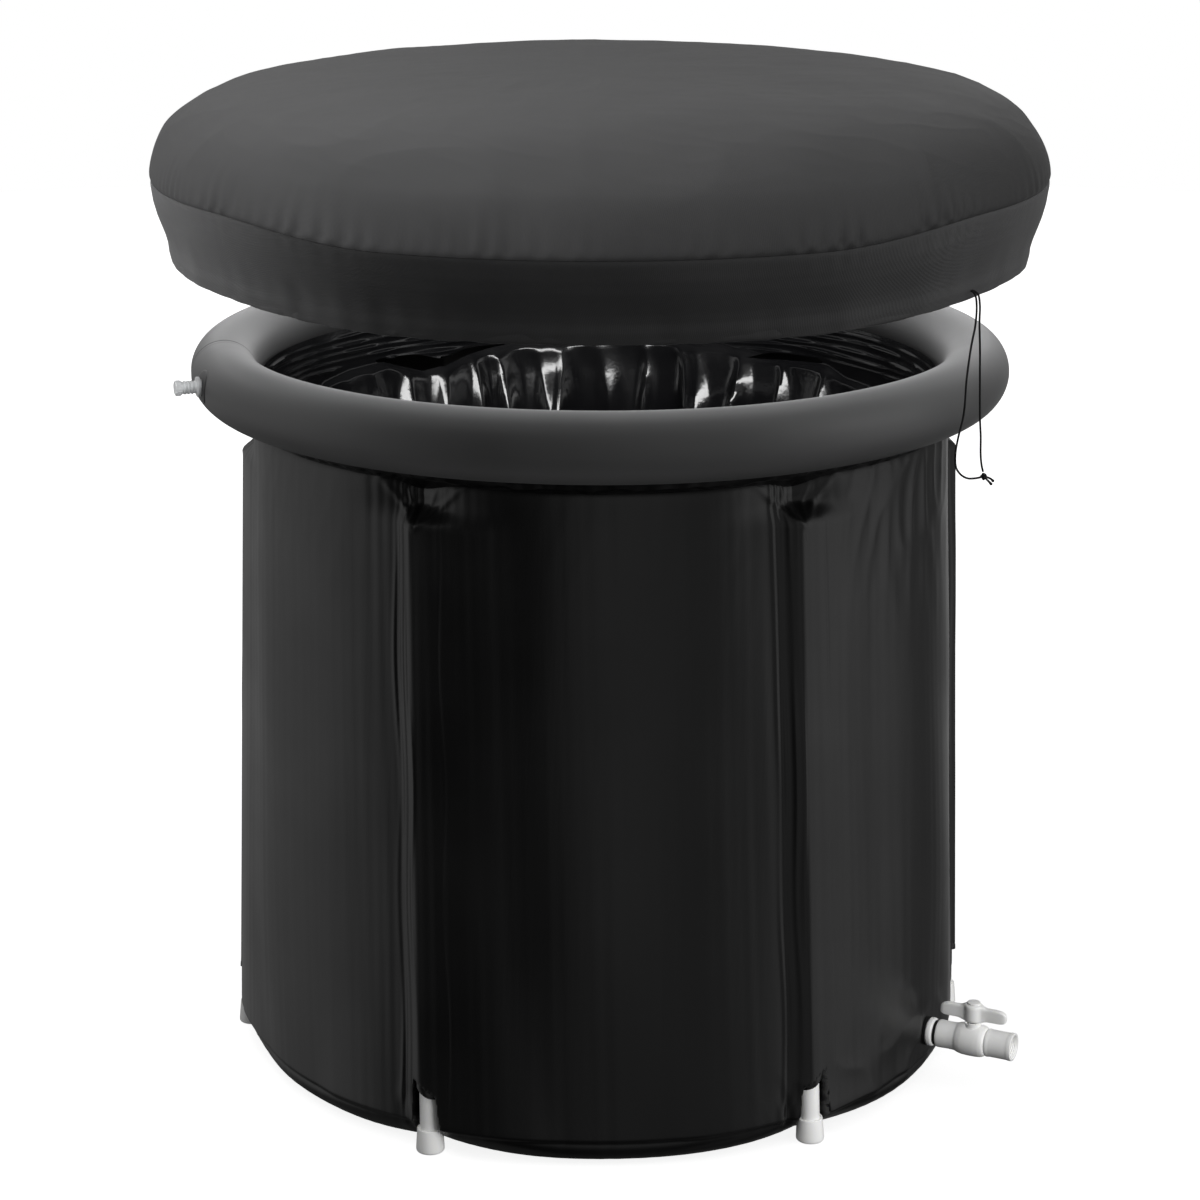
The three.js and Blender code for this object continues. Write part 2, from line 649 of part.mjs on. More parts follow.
const outletOutline = [
  [DRAIN_BORE, outletFace],
  [VALVE_RADIUS, outletFace],
  [VALVE_RADIUS, outletEnd],
  [OUTLET_SOCKET_RADIUS, outletEnd],
  [OUTLET_SOCKET_RADIUS, outletEnd - OUTLET_SOCKET_DEPTH],
  [DRAIN_BORE, outletEnd - OUTLET_SOCKET_DEPTH],
];
add("drain_outlet", spinX(outletOutline, DRAIN_SIDES), "plastic", drain);

// Ball, seats and stem. The key of the stem turns the ball in its slot.
const ballEdge = Math.asin(DRAIN_BORE / BALL_RADIUS);
const ballOutline = [...Array(BALL_STEPS + 1).keys()].map((step) => {
  const turn = ballEdge + (step / BALL_STEPS) * (Math.PI - 2 * ballEdge);
  return [BALL_RADIUS * Math.sin(turn), stemX - BALL_RADIUS * Math.cos(turn)];
});
const keyLow = BALL_RADIUS - STEM_KEY_DEPTH;
const stemLow = BALL_RADIUS + FIT;
const handleLow = COLLAR_HEIGHT + FIT;

function keyBlock(width, length, low, high) {
  const block = new THREE.BoxGeometry(length, width, high - low);
  return block.translate(stemX, 0, (low + high) / 2);
}

const ballSlot = keyBlock(STEM_KEY + 2 * FIT, 4 * BALL_RADIUS, keyLow - FIT, 2 * BALL_RADIUS);
add("drain_ball", cut(spinX(ballOutline, DRAIN_SIDES), ballSlot), "plastic", drain);
function seat(from) {
  return spinX(tubeOutline(DRAIN_BORE, housingBore - FIT, from, from + SEAT_THICK), DRAIN_SIDES);
}
add("drain_seat_inlet", seat(seatFace + FIT / 2), "rubber", drain);
add("drain_seat_outlet", seat(housingEnd - FIT - SEAT_THICK), "rubber", drain);
const stemRod = atStem(spinZ(rodOutline(STEM_RADIUS, stemLow, handleLow + HUB_SOCKET - FIT), DRAIN_SIDES));
const stemKey = keyBlock(STEM_KEY, STEM_KEY_LENGTH, keyLow, stemLow + OVERRUN);
add("drain_stem", join(stemRod, stemKey), "plastic", drain);
const sealLow = sealSeat + FIT;
const stemSeal = tubeOutline(STEM_RADIUS + FIT / 2, STEM_SEAL_RADIUS, sealLow, sealSeat + STEM_SEAL_HEIGHT);
add("drain_stem_seal", atStem(spinZ(stemSeal, DRAIN_SIDES)), "rubber", drain);

// Handle: two flat wings with rounded ends on a round hub.
function handleSide() {
  const half = HANDLE_LENGTH / 2;
  const round = HANDLE_END_RADIUS;
  const shape = new THREE.Shape();
  shape.moveTo(-half + round, 0);
  shape.lineTo(half - round, 0);
  shape.absarc(half - round, round, round, -Math.PI / 2, 0);
  shape.absarc(half - round, HANDLE_HEIGHT - round, round, 0, Math.PI / 2);
  shape.absarc(-half + round, HANDLE_HEIGHT - round, round, Math.PI / 2, Math.PI);
  shape.absarc(-half + round, round, round, Math.PI, Math.PI * 1.5);
  return shape;
}

const wings = new THREE.ExtrudeGeometry(handleSide(), {
  depth: HANDLE_WIDTH,
  bevelEnabled: false,
  curveSegments: HANDLE_END_STEPS,
});
wings.translate(0, 0, -HANDLE_WIDTH / 2).rotateX(Math.PI / 2).translate(stemX, 0, handleLow);
const hub = atStem(spinZ(rodOutline(HUB_RADIUS, handleLow, handleLow + HUB_HEIGHT), DRAIN_SIDES));
const hubBore = rodOutline(STEM_RADIUS + FIT, handleLow - OVERRUN, handleLow + HUB_SOCKET);
const hubSocket = atStem(spinZ(hubBore, DRAIN_SIDES));
add("drain_handle", cut(join(wings, hub), hubSocket), "plastic", drain);
const capLow = handleLow + HUB_HEIGHT + FIT;
const handleCap = spinZ(rodOutline(CAP_RADIUS, capLow, capLow + CAP_HEIGHT), DRAIN_SIDES);
add("drain_handle_cap", atStem(handleCap), "plastic", drain);

// Cover

const HEM_RADIUS = COVER_SEAM_RADIUS - COVER_DRAW_IN;
const HEM_TOP = COVER_HEM_HEIGHT + HEM_HEIGHT;
const COVER_SEAM_HEIGHT = HEM_TOP + COVER_BAND_HEIGHT;

// Outer radius of the crowned top at a height above the seam: a flat top with a round shoulder.
function crownRadius(rise, cloth) {
  const share = Math.min(1, rise / (COVER_CROWN - cloth));
  return (COVER_SEAM_RADIUS - cloth) * (1 - share ** 2) ** (1 / COVER_SHOULDER);
}

function crownProfile(cloth) {
  return [...Array(COVER_TOP_STEPS + 1).keys()].map((step) => {
    const rise = Math.sin((step / COVER_TOP_STEPS) * (Math.PI / 2)) * (COVER_CROWN - cloth);
    return [crownRadius(rise, cloth), COVER_SEAM_HEIGHT + rise];
  });
}

// Radius of a rising outline of [radius, height] points at one height.
function radiusAt(outline, height) {
  const next = outline.findIndex(([, h]) => h >= height);
  const [[lowRadius, low], [highRadius, high]] = outline.slice(next - 1, next + 1);
  return THREE.MathUtils.mapLinear(height, low, high, lowRadius, highRadius);
}

const crown = [...crownProfile(0), ...crownProfile(COVER_CLOTH).reverse()];
const crownLoop = [...crown.slice(COVER_TOP_STEPS + 1), ...crown.slice(0, COVER_TOP_STEPS + 1)];
add("cover_top", spinZ(crownLoop, COVER_SIDES), "cover");

const foamLow = COVER_SEAM_HEIGHT + COVER_FOAM_RISE;
const foamTop = foamLow + COVER_FOAM;
const foamEdge = radiusAt(crownProfile(COVER_CLOTH), foamTop) - 2 * FIT;
add("cover_foam", spinZ(rodOutline(foamEdge, foamLow, foamTop), COVER_SIDES), "foam");

const bandMiddle = (HEM_TOP + COVER_SEAM_HEIGHT) / 2;
const bandBow = (COVER_SEAM_RADIUS + HEM_RADIUS) / 2 + COVER_CLOTH;
const skirt = [
  [HEM_RADIUS, HEM_TOP + FIT],
  [bandBow, bandMiddle],
  [COVER_SEAM_RADIUS, COVER_SEAM_HEIGHT - FIT],
];
const skirtIn = skirt.map(([r, h]) => [r - COVER_CLOTH, h]).reverse();
add("cover_band", spinZ([...skirt, ...skirtIn], COVER_SIDES), "cover");

// Hem: cloth folded up into a channel, with a hole where the drawstring leaves it.
const hemIn = HEM_RADIUS - HEM_CHANNEL - 2 * HEM_CLOTH;
const hemSection = [
  [hemIn, COVER_HEM_HEIGHT],
  [HEM_RADIUS, COVER_HEM_HEIGHT],
  [HEM_RADIUS, HEM_TOP],
  [HEM_RADIUS - HEM_CLOTH, HEM_TOP],
  [HEM_RADIUS - HEM_CLOTH, COVER_HEM_HEIGHT + HEM_CLOTH],
  [hemIn + HEM_CLOTH, COVER_HEM_HEIGHT + HEM_CLOTH],
  [hemIn + HEM_CLOTH, HEM_TOP],
  [hemIn, HEM_TOP],
];
const cordHeight = COVER_HEM_HEIGHT + CORD_CHANNEL_RISE;
const cordBore = rodOutline(CORD_HOLE_RADIUS, HEM_RADIUS - HEM_CHANNEL, HEM_RADIUS + OVERRUN);
const cordHole = spinX(cordBore, CORD_SIDES);
cordHole.rotateZ(CORD_ANGLE).translate(0, 0, cordHeight);
add("cover_hem", cut(spinZ(hemSection, COVER_SIDES), cordHole), "cover");

const runCircle = HEM_RADIUS - HEM_CLOTH - HEM_CHANNEL / 2;
const runSection = [...Array(RUN_SIDES).keys()].map((step) => {
  const turn = (step / RUN_SIDES) * 2 * Math.PI;
  return [runCircle + CORD_RADIUS * Math.cos(turn), cordHeight + CORD_RADIUS * Math.sin(turn)];
});
// The run has one of its corners where the strands leave it.
add("drawstring_run", spinZ(runSection, COVER_SIDES).rotateZ(CORD_ANGLE), "cord");

// Free drawstring: two strands leave the hem side by side and hang to one knot.
// Points are [along, height].
const strandGap = CORD_RADIUS + FIT;
const strandLeft = [
  [-3, 826], [-4, 808], [-11, 787], [-17, 759], [-20.5, 725], [-30, 703],
  [-33.5, 690], [-32, 677], [-23, 668], [-10, 661.5], [4, 658.5], [16.8, 657],
];
const strandRight = [
  [3, 826], [3.5, 808], [6, 785], [8, 755], [11, 714], [13.5, 697], [14.5, 680], [17, 669], [20.2, 662],
];
const knotAlong = 21.5;
const knotHeight = 657;

function cordPoint([along, height], reach) {
  const out = direction(CORD_ANGLE).multiplyScalar(reach);
  const side = direction(CORD_ANGLE + Math.PI / 2).multiplyScalar(along);
  return out.add(side).setZ(height);
}

function strand(points, side) {
  const route = [
    cordPoint([side * strandGap, cordHeight], runCircle + CORD_RADIUS + FIT),
    cordPoint([side * strandGap, cordHeight], HEM_RADIUS + CORD_RADIUS),
    cordPoint([side * 2 * strandGap, cordHeight - CORD_DROP], CORD_PLANE - 2 * CORD_RADIUS),
    ...points.map((point) => cordPoint(point, CORD_PLANE)),
  ];
  const path = new THREE.CatmullRomCurve3(route, false, "centripetal");
  const section = new THREE.Shape();
  for (let step = 0; step < CORD_SIDES; step++) {
    const turn = (step / CORD_SIDES) * 2 * Math.PI;
    section.lineTo(CORD_RADIUS * Math.cos(turn), CORD_RADIUS * Math.sin(turn));
  }
  const steps = Math.round(path.getLength() / (CORD_STEP * CORD_RADIUS));
  return facingOut(new THREE.ExtrudeGeometry(section, { steps, extrudePath: path }));
}

add("drawstring_left", strand(strandLeft, -1), "cord");
add("drawstring_right", strand(strandRight, 1), "cord");

const knotBall = spinZ(
  [...Array(KNOT_STEPS + 1).keys()].map((step) => {
    const turn = (step / KNOT_STEPS) * Math.PI;
    return [step % KNOT_STEPS ? KNOT_RADIUS * Math.sin(turn) : 0, -KNOT_RADIUS * Math.cos(turn)];
  }),
  KNOT_SIDES,
);
const knotTail = spinX(rodOutline(CORD_RADIUS, 0, KNOT_RADIUS + KNOT_TAIL), CORD_SIDES);
knotTail.rotateY(KNOT_TAIL_FALL);
const knot = join(knotBall, knotTail).rotateZ(CORD_ANGLE + Math.PI / 2);
const knotPlace = cordPoint([knotAlong, knotHeight], CORD_PLANE);
add("drawstring_knot", knot.translate(knotPlace.x, knotPlace.y, knotPlace.z), "cord");

export default tub;
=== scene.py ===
# %% [markdown]
# # A cold plunge tub, cell by cell
# The tub is a round bag of black PVC cloth on six upright plastic pipes, with an inflated rim, a glossy
# liner, a drain valve and a drawstring cover that hangs above it.
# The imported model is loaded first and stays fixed: every piece below is worked out in the same frame.
# Shapes are written in millimetres, because that is how such a thing is measured, and turned into metres
# where a mesh is made.

import bmesh
import bpy
import numpy as np
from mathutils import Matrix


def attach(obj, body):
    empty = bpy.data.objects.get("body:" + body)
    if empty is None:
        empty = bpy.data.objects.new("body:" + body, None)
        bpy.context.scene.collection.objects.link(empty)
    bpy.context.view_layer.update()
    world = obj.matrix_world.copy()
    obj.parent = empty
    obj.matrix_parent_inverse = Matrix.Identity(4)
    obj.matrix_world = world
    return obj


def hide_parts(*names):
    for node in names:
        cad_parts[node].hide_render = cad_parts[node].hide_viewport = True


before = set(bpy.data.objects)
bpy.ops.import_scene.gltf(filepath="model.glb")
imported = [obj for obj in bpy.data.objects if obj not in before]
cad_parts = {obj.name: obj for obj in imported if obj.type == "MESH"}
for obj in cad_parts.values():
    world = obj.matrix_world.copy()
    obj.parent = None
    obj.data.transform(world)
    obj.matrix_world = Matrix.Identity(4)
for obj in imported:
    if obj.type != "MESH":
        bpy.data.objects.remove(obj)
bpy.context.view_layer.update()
MM = 0.001

# %% [markdown]
# ## The camera
# The photograph was taken with a longish lens, from a little above the rim. Its place was found by laying
# the feet, the rim and the drain of the model over those in the picture. It could be aimed with a constraint,
# but three plain angles are easier to read and to keep.

# %% Camera at the photograph's viewing angle
CAMERA_TURN = np.radians(26.35)
CAMERA_PITCH = np.radians(16.26)
CAMERA_DISTANCE = 3.120
CAMERA_HEIGHT = 1.374
camera_lens = bpy.data.cameras.new("photo_camera")
camera_lens.sensor_width = 36
camera_lens.lens = 93.4
camera = bpy.data.objects.new("photo_camera", camera_lens)
camera.location = (
    CAMERA_DISTANCE * np.sin(CAMERA_TURN),
    -CAMERA_DISTANCE * np.cos(CAMERA_TURN),
    CAMERA_HEIGHT,
)
camera.rotation_euler = (np.pi / 2 - CAMERA_PITCH, 0, CAMERA_TURN)
bpy.context.collection.objects.link(camera)
bpy.context.scene.camera = camera
print("camera at", [round(value, 3) for value in camera.location])

# %% [markdown]
# ## From a grid of points to a closed skin
# Nearly every piece here is a surface with two parameters: once around and once along. So one helper takes
# a grid of points, rows by columns, and faces it with quads. It could be left to modelling tools such as
# spin and extrude, but a grid keeps the formula of each shape in plain sight.

# %% Directions, distances and the skin of a grid


def toward(angle):
    """Unit vectors in the ground plane: the cosine and the sine of each angle."""
    return np.stack([np.cos(angle), np.sin(angle)], axis=-1)


def lift(flat, height):
    """Points in space from points in the ground plane and their heights."""
    height = np.broadcast_to(height, flat.shape[:-1])
    return np.concatenate([flat, height[..., None]], axis=-1)


def travelled(points, axis):
    """Distance travelled from the first point along one axis of a grid: the sum of the steps so far."""
    steps = np.linalg.norm(np.diff(points, axis=axis), axis=-1)
    start = np.zeros_like(np.take(steps, [0], axis=axis))
    return np.concatenate([start, np.cumsum(steps, axis=axis)], axis=axis)


def once_around(count, start=0.0):
    """Angles once around in equal steps, without the last, which is the first again."""
    return np.linspace(start, start + 2 * np.pi, count, endpoint=False)


def corners(values):
    """The four neighbours of every cell of a grid, in turning order."""
    low, high = values[:-1], values[1:]
    return np.stack([low[:, :-1], low[:, 1:], high[:, 1:], high[:, :-1]], axis=2)


def skin(name, *parts, along=False, sharp=35):
    """One mesh from grids of points in millimetres, each (rows, columns, 3). Every cell is a quad. Columns
    close into a ring, rows too with along, and rows that shrink to one point close a pole. The map "cloth"
    holds the distance travelled along each row and column, in metres. A part whose signed volume is negative
    is turned, so that its faces point outwards."""
    points, quads, maps = [], [], []
    first = 0
    for part in parts:
        rows, columns = part.shape[:2]
        row = np.arange(rows + along) % rows
        column = np.arange(columns + 1) % columns
        cell = corners(row[:, None] * columns + column).reshape(-1, 4)
        full = part[row][:, column]
        spread = np.stack([travelled(full, 1), travelled(full, 0)], axis=-1) * MM
        spread = corners(spread).reshape(-1, 4, 2)
        flat = part.reshape(-1, 3)
        a, b, c, d = (flat[cell[:, k]] for k in range(4))
        volume = np.sum(a * (np.cross(b, c) + np.cross(c, d)))
        order = slice(None) if volume > 0 else slice(None, None, -1)
        points.append(flat * MM)
        quads.append(cell[:, order] + first)
        maps.append(spread[:, order])
        first += len(flat)
    mesh = bpy.data.meshes.new(name)
    mesh.from_pydata(np.concatenate(points).tolist(), [], np.concatenate(quads).tolist())
    cloth = mesh.uv_layers.new(name="cloth")
    cloth.data.foreach_set("uv", np.concatenate(maps).ravel().astype(np.float32))
    welded = bmesh.new()
    welded.from_mesh(mesh)
    bmesh.ops.remove_doubles(welded, verts=welded.verts, dist=1e-6)
    bare = [edge for edge in welded.edges if edge.is_wire]
    bmesh.ops.delete(welded, geom=bare, context="EDGES")
    welded.to_mesh(mesh)
    welded.free()
    mesh.shade_smooth()
    mesh.set_sharp_from_angle(angle=np.radians(sharp))
    piece = bpy.data.objects.new(name, mesh)
    bpy.context.collection.objects.link(piece)
    return piece


def dress(piece, finish, body, slot, *nodes):
    """Gives a piece its finish, lets it move with a body and puts it in the place of its nodes."""
    piece.data.materials.append(finish)
    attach(piece, body)
    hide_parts(*nodes)
    print(f"{piece.name}: {len(piece.data.polygons)} faces on {body}, for {', '.join(nodes)}")


def paint(finish, *nodes):
    """Gives a finish to solids that stay as they are."""
    for node in nodes:
        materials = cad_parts[node].data.materials
        materials.clear()
        materials.append(finish)


# %% [markdown]
# ## Finishes
# Plastic sheet, cloth and moulded plastic differ mostly in three things: how their tone and gloss drift over
# a hand's width, how fine their grain is, and how deep that grain is. One helper sets up those three from
# noise on the piece's own coordinates; weaves and braids are added on top of it where they are needed.

# %% Shader nodes
NOISE_REACH = (0.32, 0.68)


def build(tree, kind, inputs=None, **settings):
    """One shader node. Settings are its own properties; an input is a number or another node's output."""
    made = tree.nodes.new(kind)
    for key, value in settings.items():
        setattr(made, key, value)
    for socket, value in (inputs or {}).items():
        if isinstance(value, bpy.types.NodeSocket):
            tree.links.new(value, made.inputs[socket])
        else:
            made.inputs[socket].default_value = value
    return made


def emboss(finish, height, strength, depth):
    """Adds a bump to a finish, on top of the bumps that it already has."""
    tree = finish.node_tree
    normal = tree.nodes["Principled BSDF"].inputs["Normal"]
    bump = build(tree, "ShaderNodeBump", {"Height": height, "Strength": strength, "Distance": depth})
    if normal.is_linked:
        tree.links.new(normal.links[0].from_socket, bump.inputs["Normal"])
    tree.links.new(bump.outputs["Normal"], normal)


def grained(name, tones, gloss, patch, grain, depth, strength=0.5, sockets=None):
    """A finish whose tone and roughness drift between two tones and two values of gloss with slow noise,
    patch metres wide, and whose grain is fine noise, grain metres wide and depth metres deep."""
    finish = bpy.data.materials.new(name)
    finish.use_nodes = True
    tree = finish.node_tree
    shader = tree.nodes["Principled BSDF"]
    for socket, value in (sockets or {}).items():
        shader.inputs[socket].default_value = value
    place = build(tree, "ShaderNodeTexCoord").outputs["Object"]
    slow = build(tree, "ShaderNodeTexNoise", {"Vector": place, "Scale": 1 / patch, "Detail": 4.0})
    tone = build(tree, "ShaderNodeValToRGB", {"Fac": slow.outputs[0]})
    for mark, position, shade in zip(tone.color_ramp.elements, NOISE_REACH, tones):
        mark.position = position
        mark.color = (*shade, 1)
    tree.links.new(tone.outputs["Color"], shader.inputs["Base Color"])
    reach = {"From Min": NOISE_REACH[0], "From Max": NOISE_REACH[1], "To Min": gloss[0], "To Max": gloss[1]}
    rough = build(tree, "ShaderNodeMapRange", {"Value": slow.outputs[0], **reach})
    tree.links.new(rough.outputs["Result"], shader.inputs["Roughness"])
    fine = build(tree, "ShaderNodeTexNoise", {"Vector": place, "Scale": 1 / grain, "Detail": 2.0})
    emboss(finish, fine.outputs[0], strength, depth)
    return finish


def ripple(tree, place, direction, pitch):
    """A sine of the distance along a direction, one wave to each pitch."""
    step = tuple(2 * np.pi / pitch * np.array(direction))
    along = build(tree, "ShaderNodeVectorMath", {0: place, 1: step}, operation="DOT_PRODUCT")
    return build(tree, "ShaderNodeMath", {0: along.outputs["Value"]}, operation="SINE").outputs[0]


def weave(finish, place, across, over, pitch, strength, depth):
    """Embosses two crossing sets of threads: the product of two ripples, high where one lies on top."""
    tree = finish.node_tree
    first = ripple(tree, place, across, pitch)
    second = ripple(tree, place, over, pitch)
    crossed = build(tree, "ShaderNodeMath", {0: first, 1: second}, operation="MULTIPLY")
    emboss(finish, crossed.outputs[0], strength, depth)


def coordinates(finish, kind):
    """The object's own coordinates or the map of the cloth, as an output for patterns."""
    return build(finish.node_tree, "ShaderNodeTexCoord").outputs[kind]


# %% [markdown]
# ## The drawstring
# A thin black cord runs in the cover's hem. Its two ends leave through one eyelet at the right, hang in front
# of the rim in two slack lines and meet in an overhand knot. Where they hang is fixed by the model, so the
# route's points are repeated here. The cord could be a bevelled curve; a tube of its own carries the braid.

# %% The cord's finish
CORD_RADIUS = 1.0
cord_finish = grained(
    "braided_cord",
    tones=((0.008, 0.008, 0.009), (0.02, 0.02, 0.021)),
    gloss=(0.6, 0.75),
    patch=0.02,
    grain=0.0004,
    depth=0.0001,
)
weave(cord_finish, coordinates(cord_finish, "UV"), (1, 1, 0), (1, -1, 0), 0.0011, 0.6, 0.0002)
print("finish:", cord_finish.name)

# %% The routes of the two strands
CORD_ANGLE = np.radians(-9.9)
EYELET_HEIGHT = 838.0
EXIT_REACH = [426.8, 431.0, 435.0]
HANG_REACH = 437.0
LEFT_ROUTE = [
    [-3, 826], [-4, 808], [-11, 787], [-17, 759], [-20.5, 725], [-30, 703], [-33.5, 690], [-32, 677],
    [-23, 668], [-10, 661.5], [4, 658.5], [16.8, 657],
]
RIGHT_ROUTE = [
    [3, 826], [3.5, 808], [6, 785], [8, 755], [11, 714], [13.5, 697], [14.5, 680], [17, 669], [20.2, 662],
]


def cord_place(along, height, reach):
    """A point beside the cover: its reach from the axis, its way along to the right, and its height."""
    reach = np.asarray(reach, float)[..., None]
    along = np.asarray(along, float)[..., None]
    return lift(toward(CORD_ANGLE) * reach + toward(CORD_ANGLE + np.pi / 2) * along, height)


def through(points, steps):
    """A smooth line through points: on each span, the blend of the lines through its neighbours, with the
    square root of each distance as its share of the way."""
    ends = [2 * points[0] - points[1]], points, [2 * points[-1] - points[-2]]
    knots = np.concatenate(ends)
    gaps = np.sqrt(np.linalg.norm(np.diff(knots, axis=0), axis=-1))
    marks = np.concatenate([[0], np.cumsum(gaps)])
    spans = len(points) - 1
    p = [knots[k : k + spans, None] for k in range(4)]
    t = [marks[k : k + spans, None, None] for k in range(4)]
    now = t[1] + (t[2] - t[1]) * np.linspace(0, 1, steps, endpoint=False)[None, :, None]

    def between(a, b, start, end):
        """The point between a and b that a moment between start and end gives."""
        return a + (b - a) * (now - start) / (end - start)

    pairs = [between(p[k], p[k + 1], t[k], t[k + 1]) for k in range(3)]
    bends = [between(pairs[k], pairs[k + 1], t[k], t[k + 2]) for k in range(2)]
    line = between(bends[0], bends[1], t[1], t[2]).reshape(-1, 3)
    return np.concatenate([line, points[-1:]])


def strand_route(side, route):
    """The line of one strand: out of the eyelet, over the hem's edge and down the points of its route."""
    along = [side * 1.3, side * 1.3, side * 2.6]
    start = cord_place(along, EYELET_HEIGHT - np.array([0.0, 0.0, 3.0]), EXIT_REACH)
    drop = np.array(route, float)
    hang = cord_place(drop[:, 0], drop[:, 1], np.full(len(drop), HANG_REACH))
    return through(np.concatenate([start, hang]), 8)


def tube(line, radius, sides=12):
    """A circle carried along a line. Its first direction is the one before, made square to the line again,
    and the ends shrink to a point."""
    ahead = np.gradient(line, axis=0)
    ahead /= np.linalg.norm(ahead, axis=-1, keepdims=True)
    side = np.cross(ahead[0], [0.31, 0.42, 0.85])
    sides_of = []
    for direction in ahead:
        side = side - direction * (side @ direction)
        side /= np.linalg.norm(side)
        sides_of.append(side)
    first = np.array(sides_of)[:, None]
    second = np.cross(ahead[:, None], first)
    angle = once_around(sides)[None, :, None]
    radius = np.broadcast_to(radius, len(line))[:, None, None]
    walls = line[:, None] + radius * (np.cos(angle) * first + np.sin(angle) * second)
    start = np.broadcast_to(line[0], (1, sides, 3))
    end = np.broadcast_to(line[-1], (1, sides, 3))
    return np.concatenate([start, walls, end])


left_line = strand_route(-1, LEFT_ROUTE)
right_line = strand_route(1, RIGHT_ROUTE)
left_strand = skin("drawstring_left_strand", tube(left_line, CORD_RADIUS))
right_strand = skin("drawstring_right_strand", tube(right_line, CORD_RADIUS))
dress(left_strand, cord_finish, "cover", "cord", "drawstring_left")
dress(right_strand, cord_finish, "cover", "cord", "drawstring_right")

# %% [markdown]
# The knot is drawn as what it is: a cord that winds three times through itself, with two short tails that
# splay and fray below it. A trefoil is the closed line of such a knot, so its curve gives the windings.

# %% The knot and its tails
KNOT_HEIGHT = 657.0
KNOT_ALONG = 21.5
KNOT_SPAN = 2.9
TAIL_LENGTH = 20.0
knot_centre = cord_place(KNOT_ALONG, KNOT_HEIGHT, HANG_REACH)
winding = once_around(96)
trefoil = np.stack(
    [
        np.sin(winding) + 2 * np.sin(2 * winding),
        1.4 * np.sin(3 * winding),
        np.cos(winding) - 2 * np.cos(2 * winding),
    ],
    axis=-1,
)
knot_frame = np.stack(
    [
        np.append(toward(CORD_ANGLE + np.pi / 2), 0),
        np.append(toward(CORD_ANGLE), 0),
        [0, 0, 1],
    ]
)
knot_line = knot_centre + trefoil / 3 * KNOT_SPAN @ knot_frame
tails = []
for splay, drop in ((-1.4, -34), (1.4, -24)):
    reach = np.linspace(0, TAIL_LENGTH, 14)
    fall = np.radians(drop) * (0.7 + 0.3 * reach / TAIL_LENGTH)
    bow = np.stack([reach * np.cos(fall), splay * np.sin(reach / 7), reach * np.sin(fall)], axis=-1)
    fray = CORD_RADIUS * (1 + 0.45 * (reach / TAIL_LENGTH) ** 6)
    tails.append(tube(knot_centre + bow @ knot_frame, fray))
closed_knot = np.concatenate([knot_line, knot_line[:1]])
knot = skin("drawstring_knot_windings", tube(closed_knot, CORD_RADIUS), *tails)
dress(knot, cord_finish, "cover", "cord", "drawstring_knot")

# %% [markdown]
# ## The line of the wall
# Six pipes stand in a ring and lean a little, as the cloth twists on filling. Between them the wall bulges
# out, and at each pipe it is drawn in. So the wall is the straight line from a point of the ground ring to
# the same point of the upper ring, moved outwards by a bulge that depends on the way to the next pipe.

# %% The wall's formula
LEG_RING_LOW = 375.0
LEG_RING_HIGH = 354.0
LEG_HEIGHT = 614.0
LEG_TWIST = np.radians(-2)
LEG_STEP = np.radians(60)
LEG_FIRST = np.radians(-90)
LEG_ANGLES = LEG_FIRST + LEG_STEP * np.arange(6)
WALL_RADIUS = 365.0
DRAWN_IN = 14.6
CORNER = 22.0
SLEEVE_MOUTH = 62.0
SLEEVE_SLANT = 0.65


def ramp(value, start, end):
    """Rises smoothly from 0 at start to 1 at end."""
    share = np.clip((value - start) / (end - start), 0, 1)
    return share * share * (3 - 2 * share)


def ridge(distance, width):
    """A rounded ridge of height 1: a bell curve of the distance over the width."""
    return np.exp(-((distance / width) ** 2))


def leg_number(theta):
    """The number of the nearest pipe."""
    return np.round((theta - LEG_FIRST) / LEG_STEP)


def beside_leg(theta):
    """Signed distance along the wall to the nearest pipe, in millimetres, with its right side positive."""
    half = LEG_STEP / 2
    return ((theta - LEG_FIRST + half) % LEG_STEP - half) * WALL_RADIUS


def bulge(theta, height):
    """How far the cloth stands out from the ring of pipes: drawn in at a pipe, then rising with the cube of
    the way to the panel's middle, to a swell that grows over the lowest 250 mm. Above the pipes the cloth is
    drawn in less, because it has to meet the round rim."""
    share = np.abs(beside_leg(theta)) / (WALL_RADIUS * LEG_STEP / 2)
    swell = 0.5 + 6.5 * np.sin(np.pi / 2 * np.clip(height / 250, 0, 1))
    drawn = DRAWN_IN * (1 - 0.5 * ramp(height, 612, 668))
    return -drawn + (drawn + swell) * (1 - (1 - share) ** 3)


def mouth_line(theta):
    """Height of a sleeve's slanting mouth beside its pipe. Neighbouring sleeves slant in opposite ways."""
    return SLEEVE_MOUTH + np.where(leg_number(theta) % 2, 1, -1) * SLEEVE_SLANT * beside_leg(theta)


def stretch(theta, height):
    """How much further out the cloth stands where it is pulled tight over a sleeve. At the right it goes from
    the sleeve's front to the panel in a nearly flat slope; at the left it keeps the panel's line and turns up
    steeply to the sleeve. Each slope is blended with the bulge. It ends at the sleeve's mouth and top."""
    beside = beside_leg(theta)
    flat = bulge(theta, height)
    right = 13.0 - 0.09 * beside
    left = 0.5 - 0.03 * beside + 12.6 * ramp(beside, -27, -3)
    slope = np.where(beside > -3, right, left)
    tight = 1.2 * np.logaddexp(flat / 1.2, slope / 1.2) - flat
    near = ramp(np.abs(beside), 16, 12)
    low = mouth_line(theta) * near + 4 * (1 - near)
    held = ramp(height, low, low + 26 - 20 * near) * ramp(height, 650, 626)
    return tight * held * ramp(np.abs(beside), 150, 110)


